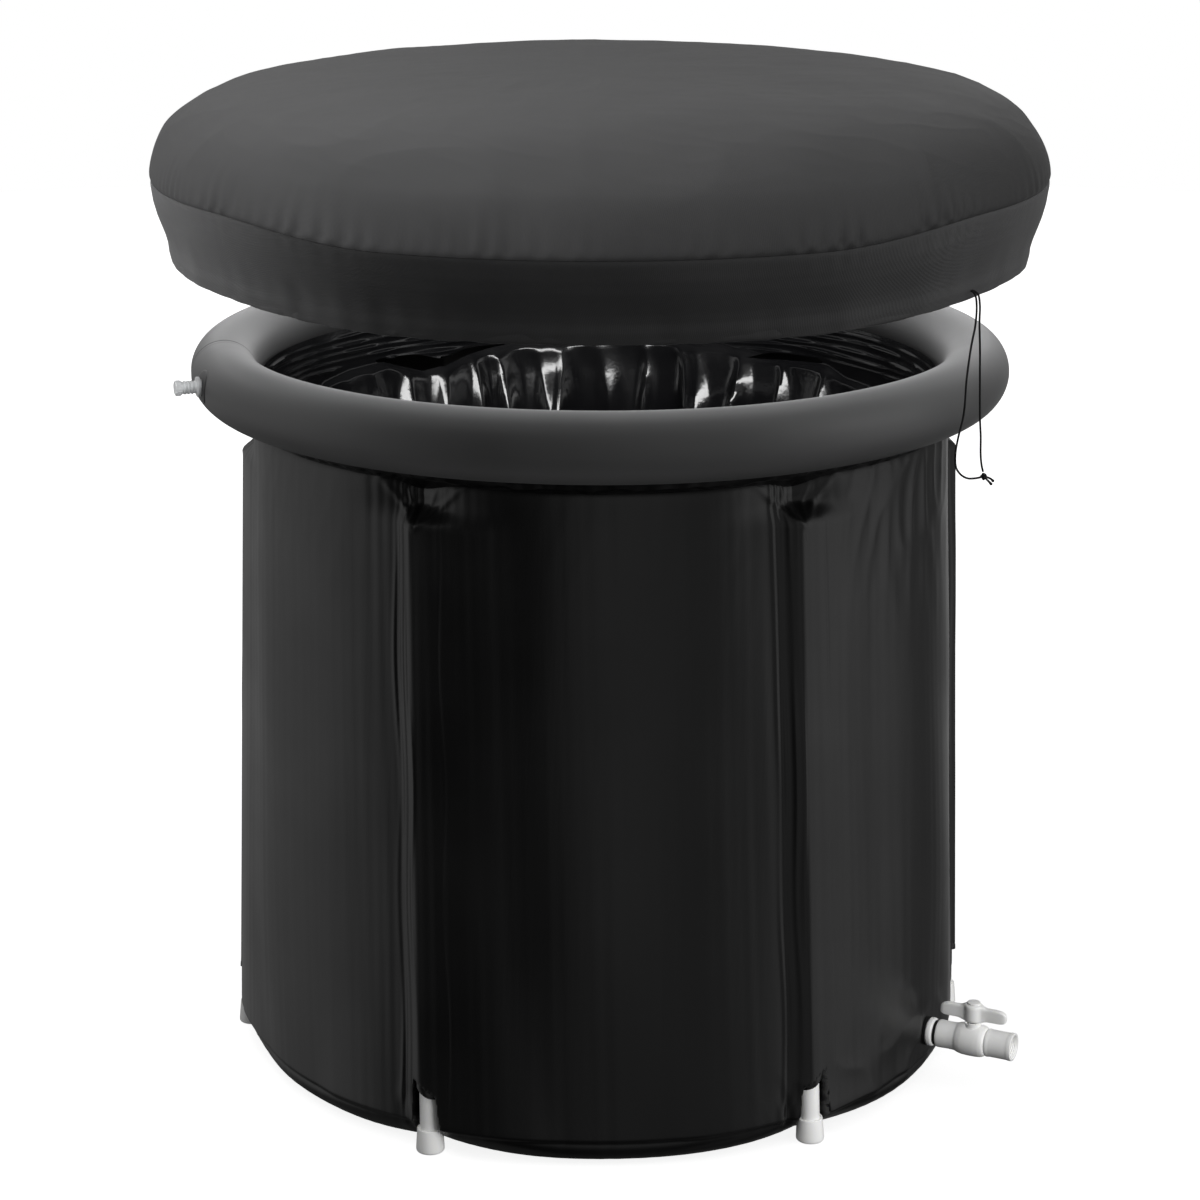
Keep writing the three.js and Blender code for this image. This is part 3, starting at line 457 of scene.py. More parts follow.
def wall_point(theta, height, outwards):
    """The point of the leaning line at an angle and a height, moved out by the bulge and outwards more."""
    way = (height / LEG_HEIGHT)[..., None]
    line = LEG_RING_LOW * toward(theta) * (1 - way) + LEG_RING_HIGH * toward(theta + LEG_TWIST) * way
    return lift(line + toward(theta) * (bulge(theta, height) + outwards)[..., None], height)


def waves(theta, height, seed, count, turns, lengths):
    """Unevenness that closes around the tub: the sum of sines that each go a whole number of turns around
    and have a wavelength upwards, at random phases, scaled to a typical height of 1."""
    pick = np.random.default_rng(seed)
    total = np.zeros(np.broadcast_shapes(theta.shape, height.shape))
    for _ in range(count):
        number = pick.integers(turns[0], turns[1])
        pace = pick.choice([-1, 1]) * 2 * np.pi / pick.uniform(lengths[0], lengths[1])
        total += np.sin(number * theta + pace * height + pick.uniform(0, 2 * np.pi))
    return total / np.sqrt(count)


def valleys(*form):
    """Unevenness from 0 to 1 with rounded tops and sharp valleys: the size of the tanh of waves."""
    return np.abs(np.tanh(waves(*form)))


def crowded(count, density):
    """Angles once around, closer together where the density is higher: its running sum in equal steps."""
    fine = np.linspace(-np.pi, np.pi, 7201)
    weight = density((fine[1:] + fine[:-1]) / 2)
    total = np.concatenate([[0], np.cumsum(weight)])
    return np.interp(np.arange(count) / count * total[-1], total, fine)


mid_panel = LEG_RING_LOW + bulge(LEG_FIRST + LEG_STEP / 2, np.array(0.0))
print("wall radius at mid-panel:", round(float(mid_panel), 1))

# %% [markdown]
# ## The outer wall
# Black PVC cloth over a thin foam, with a rounded lower edge. A seam line runs a finger above the ground, and
# creases run beside each pipe. The top edge lies close under the rim, with a V of folds above each pipe. A
# cloth simulation could find such folds, but they would not fall where the photograph has them, so each kind
# of fold is written as its own small term of the wall's height over its smooth form.

# %% The wall's finish
wall_finish = grained(
    "satin_black_cloth",
    tones=((0.0025, 0.0025, 0.0027), (0.004, 0.004, 0.0042)),
    gloss=(0.30, 0.40),
    patch=0.18,
    grain=0.0012,
    depth=0.00006,
    strength=0.35,
    sockets={"Specular IOR Level": 0.62},
)
wall_tree = wall_finish.node_tree
drawn_out = build(
    wall_tree, "ShaderNodeMapping", {"Vector": coordinates(wall_finish, "UV"), "Scale": (260, 1.6, 1)}
)
streak_inputs = {"Vector": drawn_out.outputs[0], "Scale": 1.0, "Detail": 3.0}
streaks = build(wall_tree, "ShaderNodeTexNoise", streak_inputs)
emboss(wall_finish, streaks.outputs[0], 0.16, 0.0003)
print("finish:", wall_finish.name)

# %% Creases, seams and the wall's top edge
# each crease beside a pipe: place to the right of it, depth and width
CREASES = ((-29, 1.0, 1.9), (-22, 1.2, 1.8), (-14, 1.0, 1.6), (-7, 0.7, 1.4), (25, -0.4, 1.2))
SEAM_LINE = 24.0
PIPE_FOLDS = 626.0


def wall_top(theta):
    """Height of the wall's upper seam: close under the rim, and a little lower above a pipe."""
    return 669 - 8 * ridge(beside_leg(theta), 24)


def wall_relief(theta, height):
    """What the cloth adds to its smooth form: creases beside the pipes that wander a little, the seam near
    the ground, upright streaks, a rounded top edge, a V of folds above each pipe, and slanting wrinkles under
    the top edge, left of the feet and low at the drain."""
    top = wall_top(theta)
    beside = beside_leg(theta)
    aside = np.abs(beside)
    wander = 1.6 * waves(leg_number(theta), height, 3, 4, (1, 9), (180, 500))
    strong = 0.55 + 0.45 * np.tanh(waves(theta, height, 4, 5, (5, 40), (160, 600)))
    creases = sum(depth * ridge(beside - place - wander, width) for place, depth, width in CREASES)
    relief = creases * strong * ramp(height, 20, 60)
    relief -= 1.6 * ridge(height - SEAM_LINE, 2.0) + 1.2 * ramp(height, SEAM_LINE + 1, SEAM_LINE - 3)
    relief += 0.1 * waves(theta, height, 5, 14, (60, 220), (900, 2600))
    relief += 0.5 * waves(theta, height, 6, 8, (6, 18), (300, 900)) * ramp(aside, 20, 60)
    relief -= 2.0 * np.exp(-(top - height) / 3.0)
    over_pipe = height - PIPE_FOLDS
    arms = ridge(aside - 1.1 * over_pipe, 4.5) + 0.6 * ridge(aside - 0.45 * over_pipe, 3.0)
    relief += 1.8 * arms * np.exp(-np.abs(over_pipe - 14) / 22) * ramp(over_pipe, -6, 8)
    near_top = ramp(height, 430, 640) * ramp(aside, 15, 60)
    slack = 0.1 + 1.6 * ridge(theta - np.radians(-5), 0.2)
    relief += near_top * slack * (1.0 - 2 * valleys(theta, height, 8, 9, (18, 60), (90, 260)))
    foot_folds = ramp(height, 75, 30) * ramp(height, 2, 20) * ridge(aside - 24, 9)
    relief += 1.4 * foot_folds * ramp(beside, 10, -10) * waves(theta, height, 9, 6, (60, 140), (30, 70))
    low_right = ramp(height, 130, 60) * ramp(height, 4, 24) * ridge(theta - np.radians(-8), 0.3)
    relief += 1.5 * low_right * (1 - 2 * valleys(theta, height, 10, 5, (8, 26), (70, 150)))
    return relief


# %% The wall from the ground to its seam and back down inside
WALL_COLUMNS = 840
WALL_THICK = 6.8
INNER_LOW = 1.5
near_pipes = crowded(WALL_COLUMNS, lambda angle: 1 + 3.2 * ridge(beside_leg(angle), 42))
corner_turn = np.linspace(0, np.pi / 2, 12)
corner_height = CORNER * (1 - np.cos(corner_turn))
# rows of the upright part: from and to a share of its height, and how many
spans = ((0, 0.012, 6), (0.012, 0.03, 3), (0.03, 0.095, 17), (0.095, 0.86, 36), (0.86, 1, 36))
upright = np.concatenate([np.linspace(*span)[1:] for span in spans])
theta = near_pipes[None]
top = wall_top(theta)
wall_height = np.concatenate(
    [np.repeat(corner_height[:, None], WALL_COLUMNS, axis=1), CORNER + upright[:, None] * (top - CORNER)]
)
tucked = np.concatenate([CORNER * (1 - np.sin(corner_turn)), np.zeros(len(upright))])[:, None]
wall_out = stretch(theta, wall_height) + wall_relief(theta, wall_height) - tucked
outside = wall_point(theta, wall_height, wall_out)
inner_rise = np.linspace(1, 0, 8)[:, None]
inner_height = INNER_LOW + inner_rise * (top - INNER_LOW)
inner_tuck = WALL_THICK + 14 * (1 - ramp(inner_height, INNER_LOW, 26)) + 4 * ramp(inner_height, 600, 650)
inside = wall_point(theta, inner_height, -inner_tuck)
wall = skin("outer_wall_cloth", np.concatenate([outside, inside]), along=True, sharp=50)
dress(wall, wall_finish, "tub", "wall", "outer_wall", "wall_foam")

# %% [markdown]
# ## The base sheet
# The bottom is a flat sheet with a foam sheet above it. It rests on the ground, so only shallow waves show
# on it from below. A plain disc would do; a polar grid lets the edge follow the wall's lobes.

# %% Base sheet
base_angles = once_around(240, -np.pi)[None]
base_share = np.linspace(0, 1, 28)[:, None]
base_edge = wall_point(base_angles, np.zeros_like(base_angles), -CORNER - 0.6)[..., :2]
base_flat = base_edge * base_share[..., None]
base_wave = 0.4 * (1 + np.tanh(waves(base_angles, 360 * base_share, 12, 10, (1, 9), (90, 260))))
base_low = lift(base_flat, base_wave * ramp(base_share, 1.0, 0.9))
base_high = lift(base_flat[::-1] * 0.999, 6.8 - 1.5 * ramp(base_share[::-1], 0.97, 1.0))
base = skin("base_sheet_cloth", np.concatenate([base_low, base_high]), sharp=50)
dress(base, wall_finish, "tub", "wall", "base_sheet", "floor_foam")

# %% [markdown]
# ## The sleeves
# Each pipe stands in a sleeve of the same cloth, sewn to the wall along two narrow wings. Its mouth is cut
# at a slant, its top is pinched shut. The sleeve is one profile carried up the pipe: a loop around the pipe
# whose wings follow the wall, an inner loop close to the pipe, and both shrink to a point at the top.

# %% The place of a piece on a pipe
LEAN_OUT = (LEG_RING_HIGH * np.cos(LEG_TWIST) - LEG_RING_LOW) / LEG_HEIGHT
LEAN_SIDE = LEG_RING_HIGH * np.sin(LEG_TWIST) / LEG_HEIGHT


def on_pipe(points, angle):
    """Puts points given around an upright pipe, x outwards, on the leaning pipe at an angle of the ring."""
    x, y, z = np.moveaxis(points, -1, 0)
    out = LEG_RING_LOW + x + LEAN_OUT * z
    side = y + LEAN_SIDE * z
    return lift(toward(angle) * out[..., None] + toward(angle + np.pi / 2) * side[..., None], z)


# %% Sleeve profile and sleeves
SLEEVE_HALF = [
    [11.9, 0], [11.2, 4.2], [9.2, 7.8], [5.9, 10.4], [1.5, 11.8], [-3.2, 12.2], [-7.0, 12.9], [-8.9, 15.0],
    [-9.3, 18.5], [-10.1, 19.3], [-10.9, 16.5], [-12.2, 9.5], [-12.8, 4.5],
]
SLEEVE_TOP = 636.0


def sleeve_loop():
    """The closed outer profile as a smooth line: a half circle in front, wings, and a flat back."""
    half = np.array(SLEEVE_HALF, float)
    mirrored = half[:0:-1] * [1, -1]
    loop = np.concatenate([half, [[-13.0, 0]], mirrored])
    closed = np.concatenate([loop, loop[:3]])
    line = through(lift(closed, 0.0), 3)[:-1, :2]
    return line[3 : 3 + 3 * len(loop)]


def sleeve_points(side, angle, seed):
    """Rows of the sleeve from the inner tip down to the mouth and up the outside to the pinched top.
    The outer loop's wings follow the wall; near the top it narrows towards the wall, with small folds."""
    outer = sleeve_loop()
    turn = np.arctan2(outer[:, 1], outer[:, 0] + 1)
    inner = np.stack([10.6 * np.cos(turn) - 0.4, 10.6 * np.sin(turn)], axis=-1)
    mouth = SLEEVE_MOUTH + side * SLEEVE_SLANT * outer[:, 1] + 0.02 * outer[:, 1] ** 2
    at_mouth = [0, 0.003, 0.008, 0.014, 0.022]
    rise = np.concatenate([at_mouth, np.linspace(0.04, 0.9, 40), np.linspace(0.915, 1, 18)])[:, None]
    height = mouth[None] + rise * (SLEEVE_TOP - mouth[None])
    x = np.repeat(outer[None, :, 0], len(rise), axis=0)
    y = np.repeat(outer[None, :, 1], len(rise), axis=0)
    wing = ramp(np.abs(outer[:, 1]), 11.5, 15)[None]
    reference = bulge(angle + 17 / WALL_RADIUS, np.array(600.0))
    x = x + wing * (bulge(angle + y / WALL_RADIUS, height) - reference)
    hem = 0.7 * ramp(height - mouth, 9, 5) - 0.5 * ridge(height - mouth - 9.5, 1.2)
    pinch = np.sqrt(np.clip(1 - ramp(height, 616, 636) ** 2, 0, 1))
    folds = waves(turn[None], height, seed, 6, (2, 7), (60, 240)) * 0.35
    grow = 1 + (hem + folds * (1 - wing)) / 12
    back = -9.5
    x = back + (x - back) * (0.12 + 0.88 * pinch) * grow
    y = y * (0.45 + 0.55 * np.sqrt(pinch)) * (1 + hem / 16)
    outside = np.stack([x, y, height], axis=-1)
    tip = np.broadcast_to(outside[-1].mean(axis=0), (1, len(outer), 3))
    level = np.ones(len(outer))
    inner_height = np.stack([618.5 * level, 600.0 * level, mouth + 8, mouth])
    inside = np.concatenate([np.broadcast_to(inner, (4, *inner.shape)), inner_height[..., None]], axis=-1)
    inside_tip = np.broadcast_to(inside[0].mean(axis=0) + [0, 0, 2], (1, len(outer), 3))
    return np.concatenate([inside_tip, inside, outside, tip])


for number, angle in enumerate(LEG_ANGLES):
    side = -1 if number % 2 == 0 else 1
    sleeve_grid = on_pipe(sleeve_points(side, angle, 20 + number), angle)
    sleeve = skin(f"leg_sleeve_cloth_{number + 1}", sleeve_grid, sharp=55)
    dress(sleeve, wall_finish, "tub", "wall", f"leg_sleeve_{number + 1}")

# %% [markdown]
# ## Pipes, feet and plugs
# The pipes are plain white plastic, and each stands in a tapered foot cap. They are turned shapes, so an
# outline goes once around an axis. Sharp corners look like paper in a render, so each corner of the outline
# is replaced by a short curve first.

# %% Turned shapes


def rounded(outline, cut, closed=False):
    """An outline with each corner replaced by a short curve, from cut before the corner to cut after it."""
    points = np.array(outline, float)
    if closed:
        points = np.concatenate([points[-1:], points, points[:1]])
    before = points[:-2] - points[1:-1]
    after = points[2:] - points[1:-1]
    far_before = np.linalg.norm(before, axis=-1, keepdims=True)
    far_after = np.linalg.norm(after, axis=-1, keepdims=True)
    start = points[1:-1] + before / far_before * np.minimum(cut, 0.45 * far_before)
    end = points[1:-1] + after / far_after * np.minimum(cut, 0.45 * far_after)
    share = np.linspace(0, 1, 4)[None, :, None]
    middle = points[1:-1, None]
    curve = (1 - share) ** 2 * start[:, None] + 2 * share * (1 - share) * middle + share**2 * end[:, None]
    curve = curve.reshape(-1, 2)
    return curve if closed else np.concatenate([points[:1], curve, points[-1:]])


def turned(outline, sides=48):
    """An outline of (radius, height) points, once around the upright axis."""
    flat = outline[:, None, :1] * toward(once_around(sides))[None]
    return lift(flat, outline[:, 1][:, None])


def laid(grid, start, axis):
    """Moves a turned shape so that its upright axis points along axis from start."""
    axis = np.array(axis, float)
    axis /= np.linalg.norm(axis)
    side = np.cross([0, 0, 1], axis)
    side /= np.linalg.norm(side)
    return grid @ np.stack([side, np.cross(axis, side), axis]) + start


# %% White plastic, pipes and feet
plastic_finish = grained(
    "white_moulded_plastic",
    tones=((0.87, 0.87, 0.86), (0.91, 0.91, 0.9)),
    gloss=(0.32, 0.42),
    patch=0.03,
    grain=0.0015,
    depth=0.00004,
    strength=0.25,
    sockets={"Subsurface Weight": 0.08, "Subsurface Radius": (0.004, 0.004, 0.003)},
)
foot_outline = rounded(
    [[0, 0], [12.9, 0], [14, 1.2], [14, 4], [12.7, 24], [10.3, 24], [10.3, 4], [0, 4]], 0.7
)
pipe_rows = [[10, z] for z in np.linspace(40, 580, 10)]
pipe_outline = rounded([[8, 4.3], [10, 4.3], *pipe_rows, [10, 613.7], [8, 613.7]], 0.5, closed=True)
for number, angle in enumerate(LEG_ANGLES):
    foot = skin(f"foot_cap_moulded_{number + 1}", on_pipe(turned(foot_outline), angle))
    dress(foot, plastic_finish, "tub", "plastic", f"foot_cap_{number + 1}")
    pipe = skin(f"leg_pipe_drawn_{number + 1}", on_pipe(turned(pipe_outline), angle), along=True)
    dress(pipe, plastic_finish, "tub", "plastic", f"leg_pipe_{number + 1}")
    paint(plastic_finish, f"leg_plug_{number + 1}")

# %% [markdown]
# ## The hem band
# Between the wall's seam and the inflated rim lies a narrow band of the same cloth, gathered under the rim
# into a wavy lip. It starts on the wall's lobed line and ends on a circle, so it is a blend of the two lines
# with the lip on top.

# %% Hem band
BAND_COLUMNS = 1080
BAND_ROUND = 364.0
BAND_TOP = 687.5
band_angles = crowded(BAND_COLUMNS, lambda angle: 1 + 1.5 * ridge(beside_leg(angle), 50))[None]
band_low = wall_top(band_angles) - 7


def band_line(share, inset, circle):
    """The band in the ground plane, and its heights: the wall's line, moved in by inset, that blends into a
    circle on its way up."""
    height = band_low + share * (BAND_TOP - band_low)
    start = wall_point(band_angles, height, -inset)[..., :2]
    end = circle * toward(band_angles + LEG_TWIST * 1.1)
    mix = ramp(share, 0.05, 0.85)[..., None]
    return start * (1 - mix) + end * mix, height


band_share = np.linspace(0, 1, 44)[:, None]
band_flat, band_height = band_line(band_share, 3.5, BAND_ROUND)
gather = 0.5 + 0.5 * np.tanh(1.4 * waves(band_angles, band_height, 31, 9, (60, 150), (400, 900)))
lip_edge = 672.5 + 1.6 * waves(band_angles, 0 * band_height, 33, 8, (30, 140), (400, 900))
lip = ramp(band_height, lip_edge - 1.2, lip_edge + 0.8) * (1.8 + 1.6 * gather)
slack = waves(band_angles, band_height, 32, 10, (20, 120), (40, 160)) * 0.22
band_out = (lip + slack) * ramp(band_share, 1.0, 0.88) * ramp(band_share, 0, 0.12)
band_outside = lift(band_flat + toward(band_angles) * band_out[..., None], band_height)
band_inside = lift(*band_line(np.linspace(1, 0, 5)[:, None], 9.0, BAND_ROUND - 2.4))
band = skin("top_hem_cloth", np.concatenate([band_outside, band_inside]), along=True, sharp=55)
dress(band, wall_finish, "tub", "wall", "top_hem_band")

# %% [markdown]
# ## The inflated rim
# A tube of thick, matt grey plastic, blown up tight, so it is very nearly a perfect ring. Its ends are joined
# by one weld at the left, a line around the tube with a slight waist. A torus primitive could stand in, but
# the weld needs its columns closer together there.

# %% Inflated rim
RING_CIRCLE = 381.0
RING_TUBE = 33.6
RING_HEIGHT = 718.07
WELD_ANGLE = np.radians(-145)
ring_finish = grained(
    "matt_grey_vinyl",
    tones=((0.048, 0.0481, 0.0486), (0.055, 0.0551, 0.0556)),
    gloss=(0.42, 0.50),
    patch=0.12,
    grain=0.0007,
    depth=0.00004,
    strength=0.4,
)


def from_weld(angle):
    """Distance along the ring from its weld, in millimetres."""
    return ((angle - WELD_ANGLE + np.pi) % (2 * np.pi) - np.pi) * RING_CIRCLE


def ring_point(angle, around, grow):
    """A point of the rim: around the tube at an angle of the ring, on a tube thicker by grow."""
    out = RING_CIRCLE + (RING_TUBE + grow) * np.cos(around)
    height = RING_HEIGHT + (RING_TUBE + grow) * np.sin(around)
    return lift(toward(angle) * out[..., None], height)


ring_angles = crowded(560, lambda angle: 1 + 9 * ridge(from_weld(angle), 12))[:, None]
ring_around = once_around(80)[None]
weld = ridge(from_weld(ring_angles), 1.5)
flat_weld = ridge(from_weld(ring_angles) - 6, 4)
ring_grow = -0.7 * weld + 0.25 * flat_weld - 0.35 * ridge(from_weld(ring_angles), 20)
ring_grow = ring_grow + 0.10 * waves(ring_angles, ring_around * 60, 41, 6, (2, 9), (100, 380))
ring = skin("air_ring_vinyl", ring_point(ring_angles, ring_around, ring_grow), along=True)
dress(ring, ring_finish, "tub", "ring", "air_ring")

# %% [markdown]
# ## The air valve
# At the left a round patch is welded on the rim, and from it stands a clear valve with a wide collar, a
# ribbed neck and a plug. The patch is a disc bent over the tube; the rest are turned shapes on an axis that
# points straight out.

# %% Air valve
VALVE_ANGLE = np.radians(-134)
VALVE_HEIGHT = 722.07
PATCH_RADIUS = 17.0
clear_finish = grained(
    "clear_soft_plastic",
    tones=((0.86, 0.87, 0.88), (0.92, 0.93, 0.94)),
    gloss=(0.12, 0.2),
    patch=0.02,
    grain=0.001,
    depth=0.00005,
    strength=0.3,
    sockets={"Transmission Weight": 0.35, "IOR": 1.46},
)
patch_share = np.array([0, 0.2, 0.4, 0.6, 0.75, 0.88, 0.96, 1.0, 1.0])[:, None]
patch_turn = once_around(48)[None]
patch_rise = np.arcsin((VALVE_HEIGHT - RING_HEIGHT) / RING_TUBE)
patch_along = VALVE_ANGLE + PATCH_RADIUS * patch_share * np.cos(patch_turn) / (RING_CIRCLE + RING_TUBE)
patch_around = patch_rise + PATCH_RADIUS * patch_share * np.sin(patch_turn) / RING_TUBE
patch_grow = np.array([1.2, 1.1, 1.0, 1.0, 0.9, 0.9, 0.8, 0.5, 0.1])[:, None] + 0 * patch_turn
patch_top = ring_point(patch_along, patch_around, patch_grow)
patch_low = ring_point(patch_along[::-1], patch_around[::-1], -0.4 + 0 * patch_grow)
patch = skin("air_valve_patch_vinyl", np.concatenate([patch_top, patch_low]))
dress(patch, ring_finish, "tub", "ring", "air_valve_patch")

ribs = [[5.8 + 1.0 * (k % 2), 421.6 + 1.8 * k] for k in range(7)]
stem_collar = [[4, 411], [6.6, 411], [7.4, 415], [10, 416], [10, 418.6], [6.6, 419.6]]
stem_outline = [*stem_collar, *ribs, [6.4, 434], [4, 434]]
stem_grid = turned(rounded(stem_outline, 0.4, closed=True), 40)
valve_foot = np.array([0, 0, VALVE_HEIGHT])
valve_axis = np.append(toward(VALVE_ANGLE), 0)
stem = skin("air_valve_stem_clear", laid(stem_grid, valve_foot, valve_axis), along=True)
dress(stem, clear_finish, "tub", "clear", "air_valve_stem")
plug_pin = [[0, 422.4], [3.5, 422.4], [3.7, 424], [3.7, 434.3]]
plug_head = [[7.2, 434.3], [7.5, 435], [7.5, 439.4], [6.6, 440.3], [0, 440.3]]
plug_grid = turned(rounded(plug_pin + plug_head, 0.4), 40)
grip = np.cos(np.arange(40) * np.pi)[None, :, None] * ramp(plug_grid[..., 2:], 434.4, 435.2)
plug_grid[..., :2] *= 1 + 0.02 * grip * ramp(plug_grid[..., 2:], 440.2, 439.6)
plug = skin("air_valve_plug_clear", laid(plug_grid, valve_foot, valve_axis))
dress(plug, clear_finish, "air_plug", "clear", "air_valve_plug")

# %% [markdown]
# ## The drain
# A white ball valve on the wall: a nut, a thin black groove, a socket that swells into a round housing, a
# collar for the stem, an outlet with a thread inside, and a handle with two wings. All but the handle are
# turned shapes on a level axis.

# %% Drain: nut, groove, body and outlet
DRAIN_HEIGHT = 51.0
STEM_X = 425.32
drain_foot = np.array([0, 0, DRAIN_HEIGHT])


def on_drain(outline, cut):
    """An outline of (radius, distance from the tub's axis) points, turned about the drain's level axis."""
    return laid(turned(rounded(outline, cut, closed=True), 64), drain_foot, (1, 0, 0))


rubber_finish = grained(
    "black_rubber",
    tones=((0.012, 0.012, 0.012), (0.02, 0.02, 0.02)),
    gloss=(0.6, 0.75),
    patch=0.02,
    grain=0.0008,
    depth=0.0001,
)
flange_outline = [[7, 358.4], [18.5, 358.4], [20, 360], [20, 362.4], [10, 362.4], [10, 403.3], [7, 403.3]]
flange = skin("drain_flange_turned", on_drain(flange_outline, 0.8), along=True)
dress(flange, plastic_finish, "tub", "plastic", "drain_flange")
nut_outline = [[10.3, 377.7], [13.6, 377.7], [14.8, 379.4], [14.8, 383], [13.6, 384.7], [10.3, 384.7]]
nut = skin("drain_lock_nut_turned", on_drain(nut_outline, 1.0), along=True)
dress(nut, plastic_finish, "tub", "plastic", "drain_lock_nut")
groove_outline = [[10.3, 385], [13, 385], [13, 388], [10.3, 388]]
groove = skin("drain_groove_ring_rubber", on_drain(groove_outline, 0.5), along=True)
dress(groove, rubber_finish, "tub", "rubber", "drain_groove_ring")

body_outline = [
    [10.3, 388.3], [13.9, 388.3], [14.4, 390], [14.1, 402], [14.4, 408.5], [15.6, 411], [16.7, 416],
    [17, 422], [17, 430], [16.5, 435.5], [15.2, 439.2], [13.5, 440.3], [12, 440.3], [12, 411.5],
    [10.3, 410.5],
]
body_grid = on_drain(body_outline, 1.2)
collar_outline = [[6.3, 60], [10.5, 60], [9.2, 65.5], [8.5, 67], [8.5, 71], [6.3, 71]]
collar_grid = turned(rounded(collar_outline, 0.6, closed=True), 64)
collar_turn = once_around(64)[None]
notched = ramp(np.abs(collar_turn - np.radians(225)), 0.42, 0.36) * ramp(collar_grid[..., 2], 68, 68.6)
collar_grid[..., 2] -= 1.6 * notched
collar_grid = collar_grid + [STEM_X, 0, 0]
valve_body = skin("drain_valve_body_moulded", body_grid, collar_grid, along=True)
dress(valve_body, plastic_finish, "tub", "plastic", "drain_valve_body")

THREAD_PITCH = 1.9
thread_x = np.linspace(468.2, 454.5, 44)
outlet_side = [[7, 440.6], [13.6, 440.6], [14.5, 442], [14.5, 444], [14.1, 446], [14.1, 464], [14.5, 466]]
outlet_outline = np.concatenate(
    [
        rounded(outlet_side, 0.8),
        rounded([[14.5, 466.5], [14.5, 469.6], [12.0, 469.6], [11.6, 468.6]], 0.7),
        np.stack([np.full(44, 11.5), thread_x], axis=-1),
        [[7, 453.6]],
    ]
)
outlet_grid = turned(outlet_outline, 64)
thread_rows = slice(-45, -1)
thread_turn = np.linspace(0, 1, 64, endpoint=False)[None, :]
thread_wave = np.abs((thread_x[:, None] / THREAD_PITCH - thread_turn) % 1 - 0.5) * 2
thread_fade = ramp(thread_x, 468.2, 466.8)[:, None] * ramp(thread_x, 454.5, 455.5)[:, None]
outlet_grid[thread_rows, :, :2] *= 1 - (0.07 * thread_wave * thread_fade)[..., None]
outlet = skin("drain_outlet_threaded", laid(outlet_grid, drain_foot, (1, 0, 0)), along=True)
dress(outlet, plastic_finish, "tub", "plastic", "drain_outlet")

# %% [markdown]
# The handle is one moulding: two flat wings that grow out of a bowl around the stem. Carrying a rounded
# cross-section along the handle and widening it near the stem gives that in one skin.

# %% Drain: handle, cap and hidden parts
HANDLE_HALF = 36.0
handle_way = np.sin(np.linspace(-np.pi / 2, np.pi / 2, 72))[:, None]
handle_x = HANDLE_HALF * handle_way
handle_turn = once_around(40)[None]
bowl = np.sqrt(np.clip(9.5**2 - handle_x**2, 0, None))
bowl_share = ramp(np.abs(handle_x), 14.5, 6.5)
round_end = np.clip(1 - np.abs(handle_way) ** 14, 0, 1) ** 0.5
half_width = np.maximum(bowl, 3.5 + 2.6 * ridge(handle_x, 9.5)) * round_end
handle_top = 87.6 + 2.7 * bowl_share - 1.2 * ramp(np.abs(handle_x), 26, 36)
handle_low = 71.3 + 2.2 * ramp(np.abs(handle_x), 7, 16)
middle = (handle_top + handle_low) / 2
half_height = (handle_top - handle_low) / 2 * round_end


def squared(angle, power):
    """The sine-like side of a rounded square: the sign of a cosine times its size to a power."""
    return np.sign(np.cos(angle)) * np.abs(np.cos(angle)) ** power


handle_y = half_width * squared(handle_turn, 0.45)
handle_z = middle + half_height * squared(handle_turn - np.pi / 2, 0.35)
handle_grid = np.stack([np.broadcast_to(STEM_X + handle_x, handle_y.shape), handle_y, handle_z], axis=-1)
handle = skin("drain_handle_moulded", handle_grid, sharp=60)
dress(handle, plastic_finish, "drain_lever", "plastic", "drain_handle")
cap_outline = rounded([[0, 90.6], [7, 90.6], [7, 92.1], [6.2, 92.6], [0, 92.9]], 0.4)
cap = skin("drain_handle_cap_moulded", turned(cap_outline) + [STEM_X, 0, 0])
dress(cap, plastic_finish, "drain_lever", "plastic", "drain_handle_cap")
paint(plastic_finish, "drain_ball", "drain_stem", "drain_seat_inlet", "drain_seat_outlet")
paint(rubber_finish, "drain_inner_gasket", "drain_outer_gasket", "drain_stem_seal")

# %% [markdown]
# ## The liner
# Inside hangs a bag of thin, very glossy black film. It is cut wider than the tub, so it stands in upright
# folds of uneven width, gathered where it is welded to the rim. A simulation of so thin a film would be slow
# and different each time it is tuned. Instead each fold is a sharp-backed wave at its own angle, with its own
# width, depth and lean, and their sum is the film's distance from the wall.

# %% Liner
liner_finish = grained(
    "glossy_black_film",
    tones=((0.004, 0.004, 0.0045), (0.007, 0.007, 0.0075)),
    gloss=(0.10, 0.18),
    patch=0.08,
    grain=0.004,
    depth=0.0004,
    strength=0.25,
    sockets={"Specular IOR Level": 0.9},
)
LINER_COLUMNS = 700
LINER_TOP = 709.6
LINER_RIM = 345.6
RIM_BANDS = (668, 676, 684, 693, 701)
FILM_THICK = 1.1
FILM_FLOOR = 9.0
HANG_KNOTS = 46


def hanging_line(theta):
    """Height at which the loose film starts to hang: straight runs between knots at uneven angles and
    heights, higher at the rear."""
    pick = np.random.default_rng(19)
    angle = np.cumsum(pick.uniform(0.35, 1.65, HANG_KNOTS))
    angle = angle / angle[-1] * 2 * np.pi - np.pi
    from_rear = (theta - CAMERA_TURN + np.pi / 2) % (2 * np.pi) - np.pi
    base = 655 + 22 * ridge(from_rear, 0.55)
    return base + np.interp(theta, angle, pick.uniform(-10, 8, HANG_KNOTS), period=2 * np.pi)


